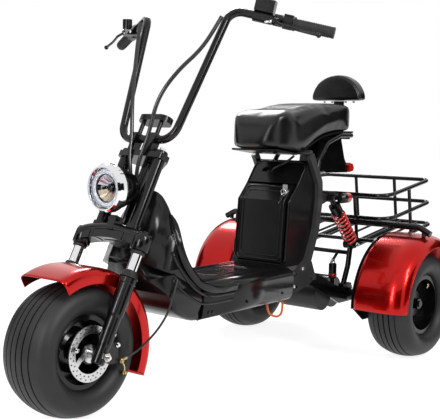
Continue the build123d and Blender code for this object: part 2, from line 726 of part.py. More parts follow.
SPRING_R = 23
WIRE_D = 8
SPRING_L = SHOCK_L - 74 - 23 - WIRE_D - 2 * SEAT
with BuildPart() as springs:
    coil_foot = shock_foot.offset(23 + SEAT + WIRE_D / 2)
    with BuildLine():
        coil = Helix(SPRING_L / 8, SPRING_L, SPRING_R, center=coil_foot.origin, direction=coil_foot.z_dir)
    with BuildSketch(Plane(origin=coil @ 0, z_dir=coil % 0)):
        Circle(WIRE_D / 2)
    sweep(path=coil, is_frenet=True)
    mirror(about=Plane.XZ)
keep("shock_springs", springs)

with BuildPart() as turn_signals:
    signal = Plane(origin=(190, 187, 600), x_dir=(0, 1, 0), z_dir=(-1, 0, 0))
    add(turned(signal, [(0, 0), (12, 2), (20, 12), (20, 34), (0, 34)]))
    with BuildSketch(Plane.XZ.offset(-SHOCK_Y - 19.8)):
        with Locations((176, 598)):
            Circle(7)
    extrude(amount=-24)
    mirror(about=Plane.XZ)
keep("turn_signals", turn_signals)
with BuildPart() as lenses:
    add(turned(signal, [(0, 34 + SEAT), (20, 34 + SEAT), (20, 58), (14, 66), (0, 68)]))
    mirror(about=Plane.XZ)
    add(slab([(-98.3, 684), (-98.3, 704), (-93.2, 712), (-98, 722), (-124, 716), (-133, 700), (-126, 688)], 50))
keep("rear_lenses", lenses)

# Swing arms, cross pivot, axle housing with its differential, and the motor in front of it.
ARM_Y = 110
with BuildPart() as swing_arm:
    for y in (-ARM_Y, ARM_Y):
        with BuildSketch(Plane.XZ.offset(-y)):
            with BuildLine():
                Polyline((310, 322), (318, 306), (300, 290), (60, 172), (-34, 172), (-34, 232), (50, 232), (270, 328), close=True)
            make_face()
            with Locations((0, TYRE_R)):
                Circle(AXLE_TUBE_D / 2 + SEAT, mode=Mode.SUBTRACT)
        extrude(amount=6, both=True)
    for y in (-77, 77):
        with BuildSketch(Plane.XZ.offset(-y)):
            with Locations((45, 228)):
                Rectangle(36, 7)
        extrude(amount=27.5, both=True)
    with BuildSketch(Plane.XZ.offset(-HOOP_Y + SEAT)):
        with Locations((290, 308)):
            Circle(15)
    extrude(amount=2 * (HOOP_Y - SEAT))
keep("swing_arm", swing_arm)

with BuildPart() as axle_housing:
    with BuildSketch(Plane.XZ.offset(-FENDER_IN)):
        with Locations((0, TYRE_R)):
            Circle(AXLE_TUBE_D / 2)
    extrude(amount=2 * FENDER_IN)
    with BuildSketch(Plane.XZ.offset(-440)):
        with Locations((0, TYRE_R)):
            Circle(12)
    extrude(amount=880)
    with BuildSketch(Plane.XZ.offset(-46)):
        with Locations((0, TYRE_R)):
            Circle(64)
    extrude(amount=92)
    for y in (414, -434):
        with BuildSketch(Plane.XZ.offset(-y - 20)):
            with Locations((0, TYRE_R)):
                RegularPolygon(21, 6)
        extrude(amount=20)
keep("axle_housing", axle_housing)

with BuildPart() as motor:
    with BuildSketch(Plane.XZ.offset(-96)):
        with Locations((150, 210)):
            Circle(56)
    extrude(amount=176)
    with BuildSketch(Plane.XZ.offset(-40)):
        with BuildLine():
            Polyline((64.3, 160), (150, 156), (150, 264), (64.3, 244), close=True)
        make_face()
    extrude(amount=76)
keep("motor", motor)

# ---------------------------------------------------------------- rear frame, fenders and basket
slope = radians(BASKET_TILT)
rack = Plane(origin=(-244, 0, 440), x_dir=(cos(slope), 0, -sin(slope)), z_dir=(sin(slope), 0, cos(slope)))


def rack_at(x, y, z):
    """A floor point of the basket, x forward and z up from the middle of its floor."""
    return rack.from_local_coords(Vector(x, y, z))


HALF_L = BASKET_L / 2
HALF_W = BASKET_W / 2
MID_Z = 0.5 * BASKET_H
with BuildPart() as basket:
    for z in (0, MID_Z, BASKET_H):
        with BuildLine() as rail:
            corners = [rack_at(x, y, z) for x, y in (
                (HALF_L, -HALF_W), (HALF_L, HALF_W), (-HALF_L, HALF_W), (-HALF_L, -HALF_W))]
            FilletPolyline(*corners, radius=[60, 60, 32, 32], close=True)
        with BuildSketch(Plane(origin=rail.line @ 0, z_dir=rail.line % 0)):
            Circle(TUBE_D / 2)
        sweep(path=rail.line)
    posts = [(HALF_L, 110), (HALF_L, -110), (-HALF_L, 95), (-HALF_L, -95), (0, HALF_W), (0, -HALF_W)]
    with BuildSketch(rack):
        with Locations(posts):
            Circle(7)
    extrude(amount=BASKET_H)
    for y in (-200, -120, -40, 40, 120, 200):
        with BuildSketch(Plane(origin=rack_at(-HALF_L, y, 0), x_dir=rack.y_dir, z_dir=rack.x_dir)):
            Circle(5)
        extrude(amount=BASKET_L)
keep("basket", basket)

UPRIGHT_Y = 112
CROSS_X = 30
CROSS_Z = 498
with BuildPart() as rear_frame:
    for y in (-UPRIGHT_Y, UPRIGHT_Y):
        add(tube([(30, y, 238), (-4, y, 316), (-26, y, 430), (CROSS_X, y, CROSS_Z)], [60, 34], 22))
        add(tube([(-24, y, 388), rack_at(-HALF_L, y, -19 - 2 * SEAT)], [], 22))
    add(tube(
        [(CROSS_X, -486, 474.5), (CROSS_X, -440, CROSS_Z), (CROSS_X, 440, CROSS_Z), (CROSS_X, 486, 474.5)],
        [50, 50], 24,
    ))
    with BuildSketch(Plane.XZ.offset(-UPRIGHT_Y)):
        with Locations((-12, 366)):
            Circle(9)
    extrude(amount=2 * UPRIGHT_Y)
    for y in (-UPRIGHT_Y, UPRIGHT_Y):
        with BuildSketch(Plane.XZ.offset(-y)):
            with Locations((9, 404)):
                Circle(17)
            with Locations((-8, 404)):
                Rectangle(34, 34)
        extrude(amount=8, both=True)
        with BuildSketch(Plane.XY.offset(232 + SEAT)):
            with Locations((14, y)):
                Rectangle(60, 24)
        extrude(amount=14)
    for side in (1, -1):
        with BuildSketch(Plane.XZ.offset(-side * (UPRIGHT_Y + 6))):
            with Locations((9, 404)):
                Circle(5)
        extrude(amount=-side * 34)
        with BuildSketch(Plane.XZ.offset(-side * (SHOCK_Y + 11.5))):
            with Locations((9, 404)):
                RegularPolygon(9, 6)
        extrude(amount=-side * 8)
        with BuildSketch(Plane.XY.offset(465.6)):
            with Locations((CROSS_X, side * 460)):
                Circle(9)
        extrude(amount=24)
keep("rear_frame", rear_frame)

with BuildPart() as fenders:
    axle_line = Axis((0, 0, TYRE_R), (0, 1, 0))
    with BuildSketch(Plane.XY.offset(TYRE_R)):
        with BuildLine():
            FilletPolyline(
                (FENDER_R - 30, FENDER_IN), (FENDER_R - 6, FENDER_IN), (FENDER_R, FENDER_IN + 14),
                (FENDER_R, 440), (FENDER_R - 14, 482), (FENDER_R - 44, 505), radius=6,
            )
        trace(line_width=SHEET)
    revolve(axis=axle_line, revolution_arc=-188)
    mirror(about=Plane.XZ)
keep("rear_fenders", fenders)

with BuildPart() as fender_plates:
    with BuildSketch(Plane.XZ.offset(-(FENDER_IN - 1.8))):
        with BuildLine():
            CenterArc((0, TYRE_R), FENDER_R - 4, 0, 188)
        make_hull()
        with BuildLine():
            Polyline((258, TYRE_R + 4), (180, 150), (134, 150), (60, TYRE_R + 4), close=True)
        make_face()
        with Locations((0, TYRE_R)):
            Circle(AXLE_TUBE_D / 2 + SEAT, mode=Mode.SUBTRACT)
    extrude(amount=4)
    mirror(about=Plane.XZ)
keep("fender_plates", fender_plates)

# ---------------------------------------------------------------- front mudguard and brake
GUARD_HALF_W = 99.2
with BuildPart() as mudguard:
    guard_axis = Axis(front_hub, (0, 1, 0))
    GUARD_FROM = 82
    GUARD_TO = 206
    start = Plane(
        origin=front_hub, x_dir=(cos(radians(GUARD_FROM)), 0, sin(radians(GUARD_FROM))),
        z_dir=(-sin(radians(GUARD_FROM)), 0, cos(radians(GUARD_FROM))),
    )
    with BuildSketch(start):
        with BuildLine():
            FilletPolyline(
                (MUDGUARD_R - 48, -GUARD_HALF_W), (MUDGUARD_R - 18, -GUARD_HALF_W), (MUDGUARD_R - 1.5, -GUARD_HALF_W + 22),
                (MUDGUARD_R - 1.5, GUARD_HALF_W - 22), (MUDGUARD_R - 18, GUARD_HALF_W), (MUDGUARD_R - 48, GUARD_HALF_W),
                radius=8,
            )
        trace(line_width=SHEET)
    revolve(axis=guard_axis, revolution_arc=GUARD_FROM - GUARD_TO)
    with BuildSketch(Plane(origin=(WHEELBASE, -GUARD_HALF_W + 1, TYRE_R), x_dir=(1, 0, 0), z_dir=(0, -1, 0))):
        with BuildLine():
            FilletPolyline((28, 249.8), (56, 246), (104, 203), radius=40)
        trace(line_width=SHEET)
    extrude(amount=2 * (1 - GUARD_HALF_W))
    for y in (-GUARD_HALF_W, GUARD_HALF_W - SHEET):
        with BuildSketch(Plane(origin=(WHEELBASE, y + SHEET, TYRE_R), x_dir=(1, 0, 0), z_dir=(0, -1, 0))):
            with BuildLine():
                Polyline((26, 250), (50, 246), (60, 240), (102, 203), (94, 190), (66, 192), (26, 206), close=True)
            make_face()
        extrude(amount=SHEET)
keep("front_mudguard", mudguard)

CALIPER_X = WHEELBASE - 76
CALIPER_Z = TYRE_R - 10
with BuildPart() as caliper:
    with BuildSketch(Plane.XZ.offset(-DISC_Y + 14)):
        with Locations((CALIPER_X, CALIPER_Z)):
            RectangleRounded(40, 62, 9)
    extrude(amount=-32)
    with BuildSketch(Plane.XZ.offset(-DISC_Y + 6)):
        with Locations((WHEELBASE, TYRE_R)):
            Circle(DISC_D / 2 + 6)
    extrude(amount=-12, mode=Mode.SUBTRACT)
    with BuildSketch(Plane.XZ.offset(-LEG_Y + LEG_R + 2.5)):
        with BuildLine():
            Polyline(
                (CALIPER_X - 8, CALIPER_Z + 20), (WHEELBASE - 38, TYRE_R + 66), (WHEELBASE - 18, TYRE_R + 60),
                (WHEELBASE - 18, TYRE_R - 14), (CALIPER_X + 10, CALIPER_Z - 30), (CALIPER_X - 16, CALIPER_Z - 20), close=True,
            )
        make_face()
    extrude(amount=-5.2)
keep("brake_caliper", caliper)

# ---------------------------------------------------------------- leads and hose
def bends(points):
    """A radius for each corner: near half of the shorter run, over the tangent of half the turn."""
    found = []
    for before, here, after in zip(points, points[1:], points[2:]):
        run_in = Vector(*here) - Vector(*before)
        run_out = Vector(*after) - Vector(*here)
        half_turn = radians(run_in.get_angle(run_out)) / 2
        found.append(0.45 * min(run_in.length, run_out.length) / tan(half_turn))
    return found


def lead(name, points, diameter):
    """One cord along its corner points, with its bend radii printed."""
    radii = bends(points)
    print(name, "radii", [round(r) for r in radii], "diameter", diameter)
    return tube(points, radii, diameter)


loom_left = [(892, 178, 1210), (922, 164, 1155), (956, 142, 1100), (1006, 108, 1045), (1044, 78, 985),
             (1062, 58, 930), (1068, 44, 870), (1078, 34, 820), (1096, 28, 775), (1100, 15, 733), (1100, 12, 700.5)]
loom_right = [(892, -178, 1210), (924, -158, 1145), (956, -134, 1085), (1000, -100, 1015), (1036, -70, 945),
              (1058, -50, 880), (1070, -38, 825), (1090, -28, 780), (1100, -15, 735), (1100, -12, 700.5)]
with BuildPart() as looms:
    add(lead("left loom", loom_left, 13))
    add(lead("right loom", loom_right, 13))
keep("bar_looms", looms)

hose = [(1262, 112, 168), (1222, 124, 182), (1180, 140, 214), (1140, 154, 254), (1105, 160, 300), (1082, 158, 350), (1058, 152, 392)]
with BuildPart() as brake_hose:
    add(lead("brake hose", hose, 7))
keep("front_brake_hose", brake_hose)

charge = [(336, 76, 759), (352, 70, 746), (367, 52, 730), (370, 26, 718), (360, 0, 708), (340, -20, 694)]
with BuildPart() as charge_lead:
    add(lead("charging lead", charge, 9))
keep("charge_lead", charge_lead)

loop = [(538, 114, 233.6), (536, 116, 206), (508, 119, 188), (474, 120, 181), (446, 118, 196), (444, 114, 233.6)]
with BuildPart() as floor_lead:
    add(lead("floor lead", loop, 8))
keep("floor_lead", floor_lead)

# ---------------------------------------------------------------- writing out
spans = [piece.bounding_box() for piece in pieces.values()]
low = Vector(*[min(tuple(span.min)[k] for span in spans) for k in range(3)])
high = Vector(*[max(tuple(span.max)[k] for span in spans) for k in range(3)])
shift = Vector(-(low.X + high.X) / 2, -(low.Y + high.Y) / 2, -low.Z)
print("shift", shift, "size", high - low)
os.makedirs("parts", exist_ok=True)
for name, piece in pieces.items():
    placed = Pos(*shift) * piece
    placed.label = name
    export_step(placed, f"parts/{name}.step")
print("pieces", len(pieces))
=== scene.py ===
from math import cos, hypot, pi, radians, sin

import bpy
import bmesh
from mathutils import Matrix, Vector
from mathutils.geometry import tessellate_polygon


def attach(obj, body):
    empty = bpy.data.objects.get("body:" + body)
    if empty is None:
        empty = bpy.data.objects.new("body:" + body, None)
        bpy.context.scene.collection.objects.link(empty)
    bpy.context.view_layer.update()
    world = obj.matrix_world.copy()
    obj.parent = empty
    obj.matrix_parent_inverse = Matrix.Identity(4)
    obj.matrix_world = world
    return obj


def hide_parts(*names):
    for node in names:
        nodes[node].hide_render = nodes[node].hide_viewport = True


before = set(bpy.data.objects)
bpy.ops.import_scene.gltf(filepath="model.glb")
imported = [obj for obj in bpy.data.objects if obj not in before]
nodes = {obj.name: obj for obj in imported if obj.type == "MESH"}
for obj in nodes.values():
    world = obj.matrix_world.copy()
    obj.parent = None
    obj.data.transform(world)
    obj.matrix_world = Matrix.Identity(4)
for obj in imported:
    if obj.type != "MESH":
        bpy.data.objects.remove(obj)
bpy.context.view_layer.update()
collection = bpy.context.scene.collection

# ------------------------------------------------------------------ camera
# A rather long lens stands off the front left corner of the scooter, a little
# above the saddle, and looks slightly down at it.
eye = Vector((2.6272, 2.0794, 0.8810))
yaw, pitch, roll = radians(219.45), radians(5.34), radians(0.79)
forward = Vector((cos(yaw) * cos(pitch), sin(yaw) * cos(pitch), -sin(pitch)))
level = Vector((sin(yaw), -cos(yaw), 0))
lift = level.cross(forward)
camera_right = cos(roll) * level + sin(roll) * lift
camera_up = cos(roll) * lift - sin(roll) * level
camera_data = bpy.data.cameras.new("camera")
camera_data.lens = 76.753
camera_data.sensor_width = 36
camera_data.clip_end = 60
camera = bpy.data.objects.new("camera", camera_data)
camera.matrix_world = Matrix.Translation(eye) @ Matrix((camera_right, camera_up, -forward)).transposed().to_4x4()
collection.objects.link(camera)
bpy.context.scene.camera = camera
bpy.context.scene.view_settings.view_transform = "Standard"

# ------------------------------------------------------------------ studio
# A seamless white paper sweep under a white room. The paper glows for the camera and
# in reflections, so its far edge is not seen, and still takes the scooter's shadow.
floor_mesh = bpy.data.meshes.new("floor")
floor_mesh.from_pydata([(-16, -16, 0), (16, -16, 0), (16, 16, 0), (-16, 16, 0)], [], [(0, 1, 2, 3)])
floor = bpy.data.objects.new("floor", floor_mesh)
collection.objects.link(floor)
paper = bpy.data.materials.new("paper")
paper.use_nodes = True
paper_tree = paper.node_tree
paper_shader = paper_tree.nodes["Principled BSDF"]
paper_shader.inputs["Base Color"].default_value = (0.42, 0.42, 0.42, 1)
paper_shader.inputs["Roughness"].default_value = 1.0
paper_shader.inputs["Specular IOR Level"].default_value = 0.0
paper_shader.inputs["Emission Color"].default_value = (1, 1, 1, 1)
floor_mesh.materials.append(paper)
world = bpy.data.worlds.new("studio")
bpy.context.scene.world = world
world.use_nodes = True
background = world.node_tree.nodes["Background"]
background.inputs["Color"].default_value = (1, 1, 1, 1)
for tree, socket, hidden, seen in (
    (paper_tree, paper_shader.inputs["Emission Strength"], 0.12, 0.86),
    (world.node_tree, background.inputs["Strength"], 0.42, 1.0),
):
    path = tree.nodes.new("ShaderNodeLightPath")
    either = tree.nodes.new("ShaderNodeMath")
    either.operation = "MAXIMUM"
    any_ray = tree.nodes.new("ShaderNodeMath")
    any_ray.operation = "MAXIMUM"
    level_range = tree.nodes.new("ShaderNodeMapRange")
    level_range.inputs["To Min"].default_value = hidden
    level_range.inputs["To Max"].default_value = seen
    tree.links.new(path.outputs["Is Camera Ray"], either.inputs[0])
    tree.links.new(path.outputs["Is Transmission Ray"], either.inputs[1])
    tree.links.new(either.outputs[0], any_ray.inputs[0])
    tree.links.new(path.outputs["Is Glossy Ray"], any_ray.inputs[1])
    tree.links.new(any_ray.outputs[0], level_range.inputs["Value"])
    tree.links.new(level_range.outputs["Result"], socket)
for name, stand, aim, size, power in (
    ("key_light", (0.9, 3.4, 3.0), (0.1, 0, 0.55), (0.9, 1.8), 95),
    ("front_light", (4.2, 0.5, 2.0), (0.5, 0, 0.5), (0.7, 2.0), 60),
    ("back_light", (-2.4, -2.6, 3.2), (0, 0, 0.7), (1.8, 0.8), 75),
):
    light_data = bpy.data.lights.new(name, "AREA")
    light_data.shape = "RECTANGLE"
    light_data.size, light_data.size_y = size
    light_data.energy = power
    light = bpy.data.objects.new(name, light_data)
    light.location = stand
    light.rotation_euler = (Vector(aim) - Vector(stand)).to_track_quat("-Z", "Y").to_euler()
    collection.objects.link(light)

# Six black cards stand round the scooter, seen only in reflections: they give the chrome
# and the gloss black their dark bands, with the white room between and above them.
card_black = bpy.data.materials.new("card_black")
card_black.use_nodes = True
card_shader = card_black.node_tree.nodes["Principled BSDF"]
card_shader.inputs["Base Color"].default_value = (0.01, 0.01, 0.01, 1)
card_shader.inputs["Roughness"].default_value = 1.0
card_shader.inputs["Specular IOR Level"].default_value = 0.0
for k in range(6):
    bearing = radians(39 + 60 * k)
    outward = Vector((cos(bearing), sin(bearing), 0))
    along = Vector((-sin(bearing), cos(bearing), 0))
    card_mesh = bpy.data.meshes.new("black_card_%d" % k)
    card_mesh.from_pydata([outward * 4.2 + along * w * 1.35 + Vector((0, 0, h)) for w, h in
                           ((-1, 0.05), (1, 0.05), (1, 2.3), (-1, 2.3))], [], [(0, 1, 2, 3)])
    card_mesh.materials.append(card_black)
    card = bpy.data.objects.new("black_card_%d" % k, card_mesh)
    collection.objects.link(card)
    card.visible_camera = False
    card.visible_diffuse = False
    card.visible_transmission = False
    card.visible_shadow = False

# ------------------------------------------------------------------ tyres and rims
# Balloon tyres with five plain grooves: matt carbon-black rubber, dusty on the tread,
# with a smoother flank. The rims are pressed steel with a gloss black coat.
def wire(tree, pairs):
    """Joins each output to its input."""
    for output, taken_by in pairs:
        tree.links.new(output, taken_by)


grain = bpy.data.node_groups.new("grain", "ShaderNodeTree")
for socket, value in (("Scale", 300.0), ("Depth", 0.1), ("Roughness", 0.4), ("Spread", 0.1)):
    grain.interface.new_socket(socket, in_out="INPUT", socket_type="NodeSocketFloat").default_value = value
grain.interface.new_socket("Roughness", in_out="OUTPUT", socket_type="NodeSocketFloat")
grain.interface.new_socket("Normal", in_out="OUTPUT", socket_type="NodeSocketVector")
grain_in = grain.nodes.new("NodeGroupInput")
grain_out = grain.nodes.new("NodeGroupOutput")
grain_place = grain.nodes.new("ShaderNodeTexCoord")
grain_fine = grain.nodes.new("ShaderNodeTexNoise")
grain_fine.inputs["Detail"].default_value = 3
grain_broad = grain.nodes.new("ShaderNodeTexNoise")
grain_broad.inputs["Scale"].default_value = 14
grain_broad.inputs["Detail"].default_value = 4
grain_bump = grain.nodes.new("ShaderNodeBump")
grain_bump.inputs["Distance"].default_value = 0.001
grain_centre = grain.nodes.new("ShaderNodeMath")
grain_centre.operation = "SUBTRACT"
grain_centre.inputs[1].default_value = 0.5
grain_mix = grain.nodes.new("ShaderNodeMath")
grain_mix.operation = "MULTIPLY_ADD"
wire(grain, [
    (grain_place.outputs["Object"], grain_fine.inputs["Vector"]),
    (grain_place.outputs["Object"], grain_broad.inputs["Vector"]),
    (grain_in.outputs["Scale"], grain_fine.inputs["Scale"]),
    (grain_in.outputs["Depth"], grain_bump.inputs["Strength"]),
    (grain_fine.outputs["Fac"], grain_bump.inputs["Height"]),
    (grain_broad.outputs["Fac"], grain_centre.inputs[0]),
    (grain_centre.outputs[0], grain_mix.inputs[0]),
    (grain_in.outputs["Spread"], grain_mix.inputs[1]),
    (grain_in.outputs["Roughness"], grain_mix.inputs[2]),
    (grain_mix.outputs[0], grain_out.inputs["Roughness"]),
    (grain_bump.outputs["Normal"], grain_out.inputs["Normal"]),
])

# Handling marks and painted sheen: patches of a second colour, and a paler line along sharp edges. On most finishes the
# second colour is wear; on the candy red it is the paint's lit tone, so there the patches and edges are painted
# highlight.
wear_and_sheen = bpy.data.node_groups.new("wear_and_sheen", "ShaderNodeTree")
wear_and_sheen.interface.new_socket("Clean", in_out="INPUT", socket_type="NodeSocketColor")
wear_and_sheen.interface.new_socket("Wear_and_sheen", in_out="INPUT", socket_type="NodeSocketColor")
for socket, value in (("Amount", 0.3), ("Scale", 22.0), ("Edge", 0.3)):
    wear_and_sheen.interface.new_socket(socket, in_out="INPUT", socket_type="NodeSocketFloat").default_value = value
wear_and_sheen.interface.new_socket("Color", in_out="OUTPUT", socket_type="NodeSocketColor")
wear_and_sheen_in = wear_and_sheen.nodes.new("NodeGroupInput")
wear_and_sheen_out = wear_and_sheen.nodes.new("NodeGroupOutput")
wear_and_sheen_place = wear_and_sheen.nodes.new("ShaderNodeTexCoord")
wear_and_sheen_patch = wear_and_sheen.nodes.new("ShaderNodeTexNoise")
wear_and_sheen_patch.inputs["Detail"].default_value = 6
wear_and_sheen_range = wear_and_sheen.nodes.new("ShaderNodeMapRange")
wear_and_sheen_range.inputs["From Min"].default_value = 0.42
wear_and_sheen_range.inputs["From Max"].default_value = 0.78
wear_and_sheen_shape = wear_and_sheen.nodes.new("ShaderNodeNewGeometry")
wear_and_sheen_edge = wear_and_sheen.nodes.new("ShaderNodeMapRange")
wear_and_sheen_edge.inputs["From Min"].default_value = 0.53
wear_and_sheen_edge.inputs["From Max"].default_value = 0.62
wear_and_sheen_sum = wear_and_sheen.nodes.new("ShaderNodeMath")
wear_and_sheen_sum.use_clamp = True
wear_and_sheen_mix = wear_and_sheen.nodes.new("ShaderNodeMix")
wear_and_sheen_mix.data_type = "RGBA"
wire(wear_and_sheen, [
    (wear_and_sheen_place.outputs["Object"], wear_and_sheen_patch.inputs["Vector"]),
    (wear_and_sheen_in.outputs["Scale"], wear_and_sheen_patch.inputs["Scale"]),
    (wear_and_sheen_patch.outputs["Fac"], wear_and_sheen_range.inputs["Value"]),
    (wear_and_sheen_in.outputs["Amount"], wear_and_sheen_range.inputs["To Max"]),
    (wear_and_sheen_shape.outputs["Pointiness"], wear_and_sheen_edge.inputs["Value"]),
    (wear_and_sheen_in.outputs["Edge"], wear_and_sheen_edge.inputs["To Max"]),
    (wear_and_sheen_range.outputs["Result"], wear_and_sheen_sum.inputs[0]),
    (wear_and_sheen_edge.outputs["Result"], wear_and_sheen_sum.inputs[1]),
    (wear_and_sheen_sum.outputs[0], wear_and_sheen_mix.inputs["Factor"]),
    (wear_and_sheen_in.outputs["Clean"], wear_and_sheen_mix.inputs["A"]),
    (wear_and_sheen_in.outputs["Wear_and_sheen"], wear_and_sheen_mix.inputs["B"]),
    (wear_and_sheen_mix.outputs["Result"], wear_and_sheen_out.inputs["Color"]),
])


def finish(name, clean, wear_and_sheen_colour, roughness, spread=0.08, scale=900, depth=0.05, amount=0.3, edge=0.2, patch=22,
           metallic=0.0, coat=0.0, specular=0.5):
    """A surface finish: its colour and worn colour (on the candy red a painted highlight colour), its gloss, and the
    grain's size and depth.
    """
    made = bpy.data.materials.new(name)
    made.use_nodes = True
    tree = made.node_tree
    shader = tree.nodes["Principled BSDF"]
    skin = tree.nodes.new("ShaderNodeGroup")
    skin.node_tree = grain
    wear_and_sheen_marks = tree.nodes.new("ShaderNodeGroup")
    wear_and_sheen_marks.node_tree = wear_and_sheen
    for group, socket, value in (
        (skin, "Scale", scale), (skin, "Depth", depth), (skin, "Roughness", roughness), (skin, "Spread", spread),
        (wear_and_sheen_marks, "Clean", (*clean, 1)), (wear_and_sheen_marks, "Wear_and_sheen", (*wear_and_sheen_colour, 1)), (wear_and_sheen_marks, "Amount", amount),
        (wear_and_sheen_marks, "Scale", patch), (wear_and_sheen_marks, "Edge", edge),
    ):
        group.inputs[socket].default_value = value
    tree.links.new(wear_and_sheen_marks.outputs["Color"], shader.inputs["Base Color"])
    tree.links.new(skin.outputs["Roughness"], shader.inputs["Roughness"])
    tree.links.new(skin.outputs["Normal"], shader.inputs["Normal"])
    shader.inputs["Metallic"].default_value = metallic
    shader.inputs["Coat Weight"].default_value = coat
    shader.inputs["Coat Roughness"].default_value = 0.05
    shader.inputs["Specular IOR Level"].default_value = specular
    return made


def dress(material, *names):
    """Gives CAD pieces their finish."""
    for name in names:
        nodes[name].data.materials.clear()
        nodes[name].data.materials.append(material)


def place(x, y, z):
    """A point in metres from millimetres measured from the rear axle's middle, on the ground."""
    return Vector(((x - 570.453) / 1000, y / 1000, z / 1000))


def add_piece(name, mesh, material, body, smooth=True):
    """Puts a finished mesh on a body as a piece of its own."""
    made = bpy.data.objects.new(name, mesh)
    collection.objects.link(made)
    mesh.materials.clear()
    mesh.materials.append(material)
    for face in mesh.polygons:
        face.use_smooth = smooth
    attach(made, body)
    return made


tyre_rubber = finish("tyre_rubber", (0.012, 0.012, 0.013), (0.040, 0.039, 0.037), 0.52, 0.16, 420, 0.22, 0.55, 0.25,
                     9, specular=0.42)
rim_paint = finish("rim_paint", (0.0028, 0.0028, 0.0032), (0.015, 0.015, 0.015), 0.18, 0.08, 600, 0.03, 0.25, 0.1, 30,
                   coat=0.08, specular=0.30)
dress(tyre_rubber, "front_tyre", "rear_left_tyre", "rear_right_tyre")
dress(rim_paint, "front_rim", "rear_left_rim", "rear_right_rim")



def as_mesh(made, name):
    """A finished bmesh as a mesh of that name."""
    mesh = bpy.data.meshes.new(name)
    made.to_mesh(mesh)
    made.free()
    return mesh


def turned_mesh(name, rings, base, axis, segments=32, closed=False):
    """A mesh turned about an axis from (radius, height) rings."""
    axis = Vector(axis).normalized()
    side = axis.orthogonal().normalized()
    other = axis.cross(side)
    made = bmesh.new()
    loops = []
    for radius, height in rings:
        if radius < 1e-6:
            loops.append([made.verts.new(base + axis * height)])
        else:
            loops.append([made.verts.new(base + axis * height + radius * (cos(a) * side + sin(a) * other))
                          for a in (2 * pi * k / segments for k in range(segments))])
    pairs = list(zip(loops, loops[1:])) + ([(loops[-1], loops[0])] if closed else [])
    for low, high in pairs:
        for k in range(segments):
            corners = [low[k % len(low)], low[(k + 1) % segments % len(low)],
                       high[(k + 1) % segments % len(high)], high[k % len(high)]]
            corners = [v for i, v in enumerate(corners) if v not in corners[:i]]
            if len(corners) > 2:
                made.faces.new(corners)
    bmesh.ops.recalc_face_normals(made, faces=made.faces)
    return as_mesh(made, name)


# Each rim has a short brass and rubber air valve pressed through its barrel.
brass = finish("brass", (0.62, 0.46, 0.20), (0.30, 0.22, 0.12), 0.28, 0.12, 900, 0.05, 0.4, 0.3, 60, metallic=1.0)
for name, body, y in (("front_valve", "front_wheel", -0.030), ("left_valve", "rear_left_wheel", 0.443),
                      ("right_valve", "rear_right_wheel", -0.443)):
    hub_x = 0.79255 if body == "front_wheel" else -0.570453
    foot = Vector((hub_x - 0.052, y, 0.203 + 0.074))
    stem = turned_mesh(name, [(0, 0), (0.0042, 0), (0.0042, 0.012), (0.0026, 0.013), (0.0026, 0.021), (0, 0.022)],
                       foot, (0.574, 0, -0.819), 12)
    add_piece(name, stem, brass, body)

# ------------------------------------------------------------------ front brake disc and axle
# The disc is stainless steel, ground in circles and drilled; six swept arms hold it to
# the hub. The axle, its spacers and nuts are zinc plated steel.
disc_steel = finish("disc_steel", (0.66, 0.66, 0.66), (0.46, 0.45, 0.44), 0.28, 0.1, 1600, 0.05, 0.4, 0.1, 30,
                    metallic=1.0)
disc_tree = disc_steel.node_tree
disc_place = disc_tree.nodes.new("ShaderNodeTexCoord")
disc_centre = disc_tree.nodes.new("ShaderNodeMapping")
disc_centre.inputs["Location"].default_value = (-0.79255, 0, -0.203)
disc_rings = disc_tree.nodes.new("ShaderNodeTexWave")
disc_rings.wave_type = "RINGS"
disc_rings.rings_direction = "Y"
disc_rings.inputs["Scale"].default_value = 420
disc_rings.inputs["Distortion"].default_value = 0.6
disc_bump = disc_tree.nodes.new("ShaderNodeBump")
disc_bump.inputs["Strength"].default_value = 0.12
disc_bump.inputs["Distance"].default_value = 0.0004
wire(disc_tree, [
    (disc_place.outputs["Object"], disc_centre.inputs["Vector"]),
    (disc_centre.outputs["Vector"], disc_rings.inputs["Vector"]),
    (disc_rings.outputs["Fac"], disc_bump.inputs["Height"]),
    (disc_bump.outputs["Normal"], disc_tree.nodes["Principled BSDF"].inputs["Normal"]),
])
zinc = finish("zinc", (0.58, 0.58, 0.57), (0.36, 0.34, 0.32), 0.26, 0.14, 1200, 0.06, 0.4, 0.2, 40, metallic=1.0)
dress(disc_steel, "front_brake_disc")
dress(zinc, "front_axle")

# ------------------------------------------------------------------ fork
# Gloss black alloy legs slide on hard-chromed stanchions, with a rubber wiper seal at
# each leg's top. The yokes are black castings clamped with zinc plated bolts.
black_paint = finish("black_paint", (0.0028, 0.0028, 0.0032), (0.015, 0.015, 0.015), 0.17, 0.08, 500, 0.04, 0.22, 0.2,
                     26, coat=0.08, specular=0.30)
chrome = finish("chrome", (0.80, 0.80, 0.81), (0.62, 0.62, 0.62), 0.06, 0.04, 900, 0.008, 0.25, 0.05, 40,
                metallic=1.0)
seal_rubber = finish("seal_rubber", (0.010, 0.010, 0.010), (0.03, 0.03, 0.03), 0.42, 0.1, 900, 0.12, specular=0.35)
dress(black_paint, "fork_legs", "lower_yoke", "upper_fork_tubes", "upper_yoke", "head_tube")
dress(chrome, "fork_stanchions")
RAKE = radians(28.5)
fork_foot = place(1363, 0, 203)
fork_ahead = Vector((cos(RAKE), 0, sin(RAKE)))
fork_up = Vector((-sin(RAKE), 0, cos(RAKE)))
STANCHION_R = 0.0165
LEG_Y = 128


def on_fork(x, y, z):
    """A point in millimetres from the front hub, forward of, across and up the fork."""
    return fork_foot + fork_ahead * x / 1000 + Vector((0, y / 1000, 0)) + fork_up * z / 1000


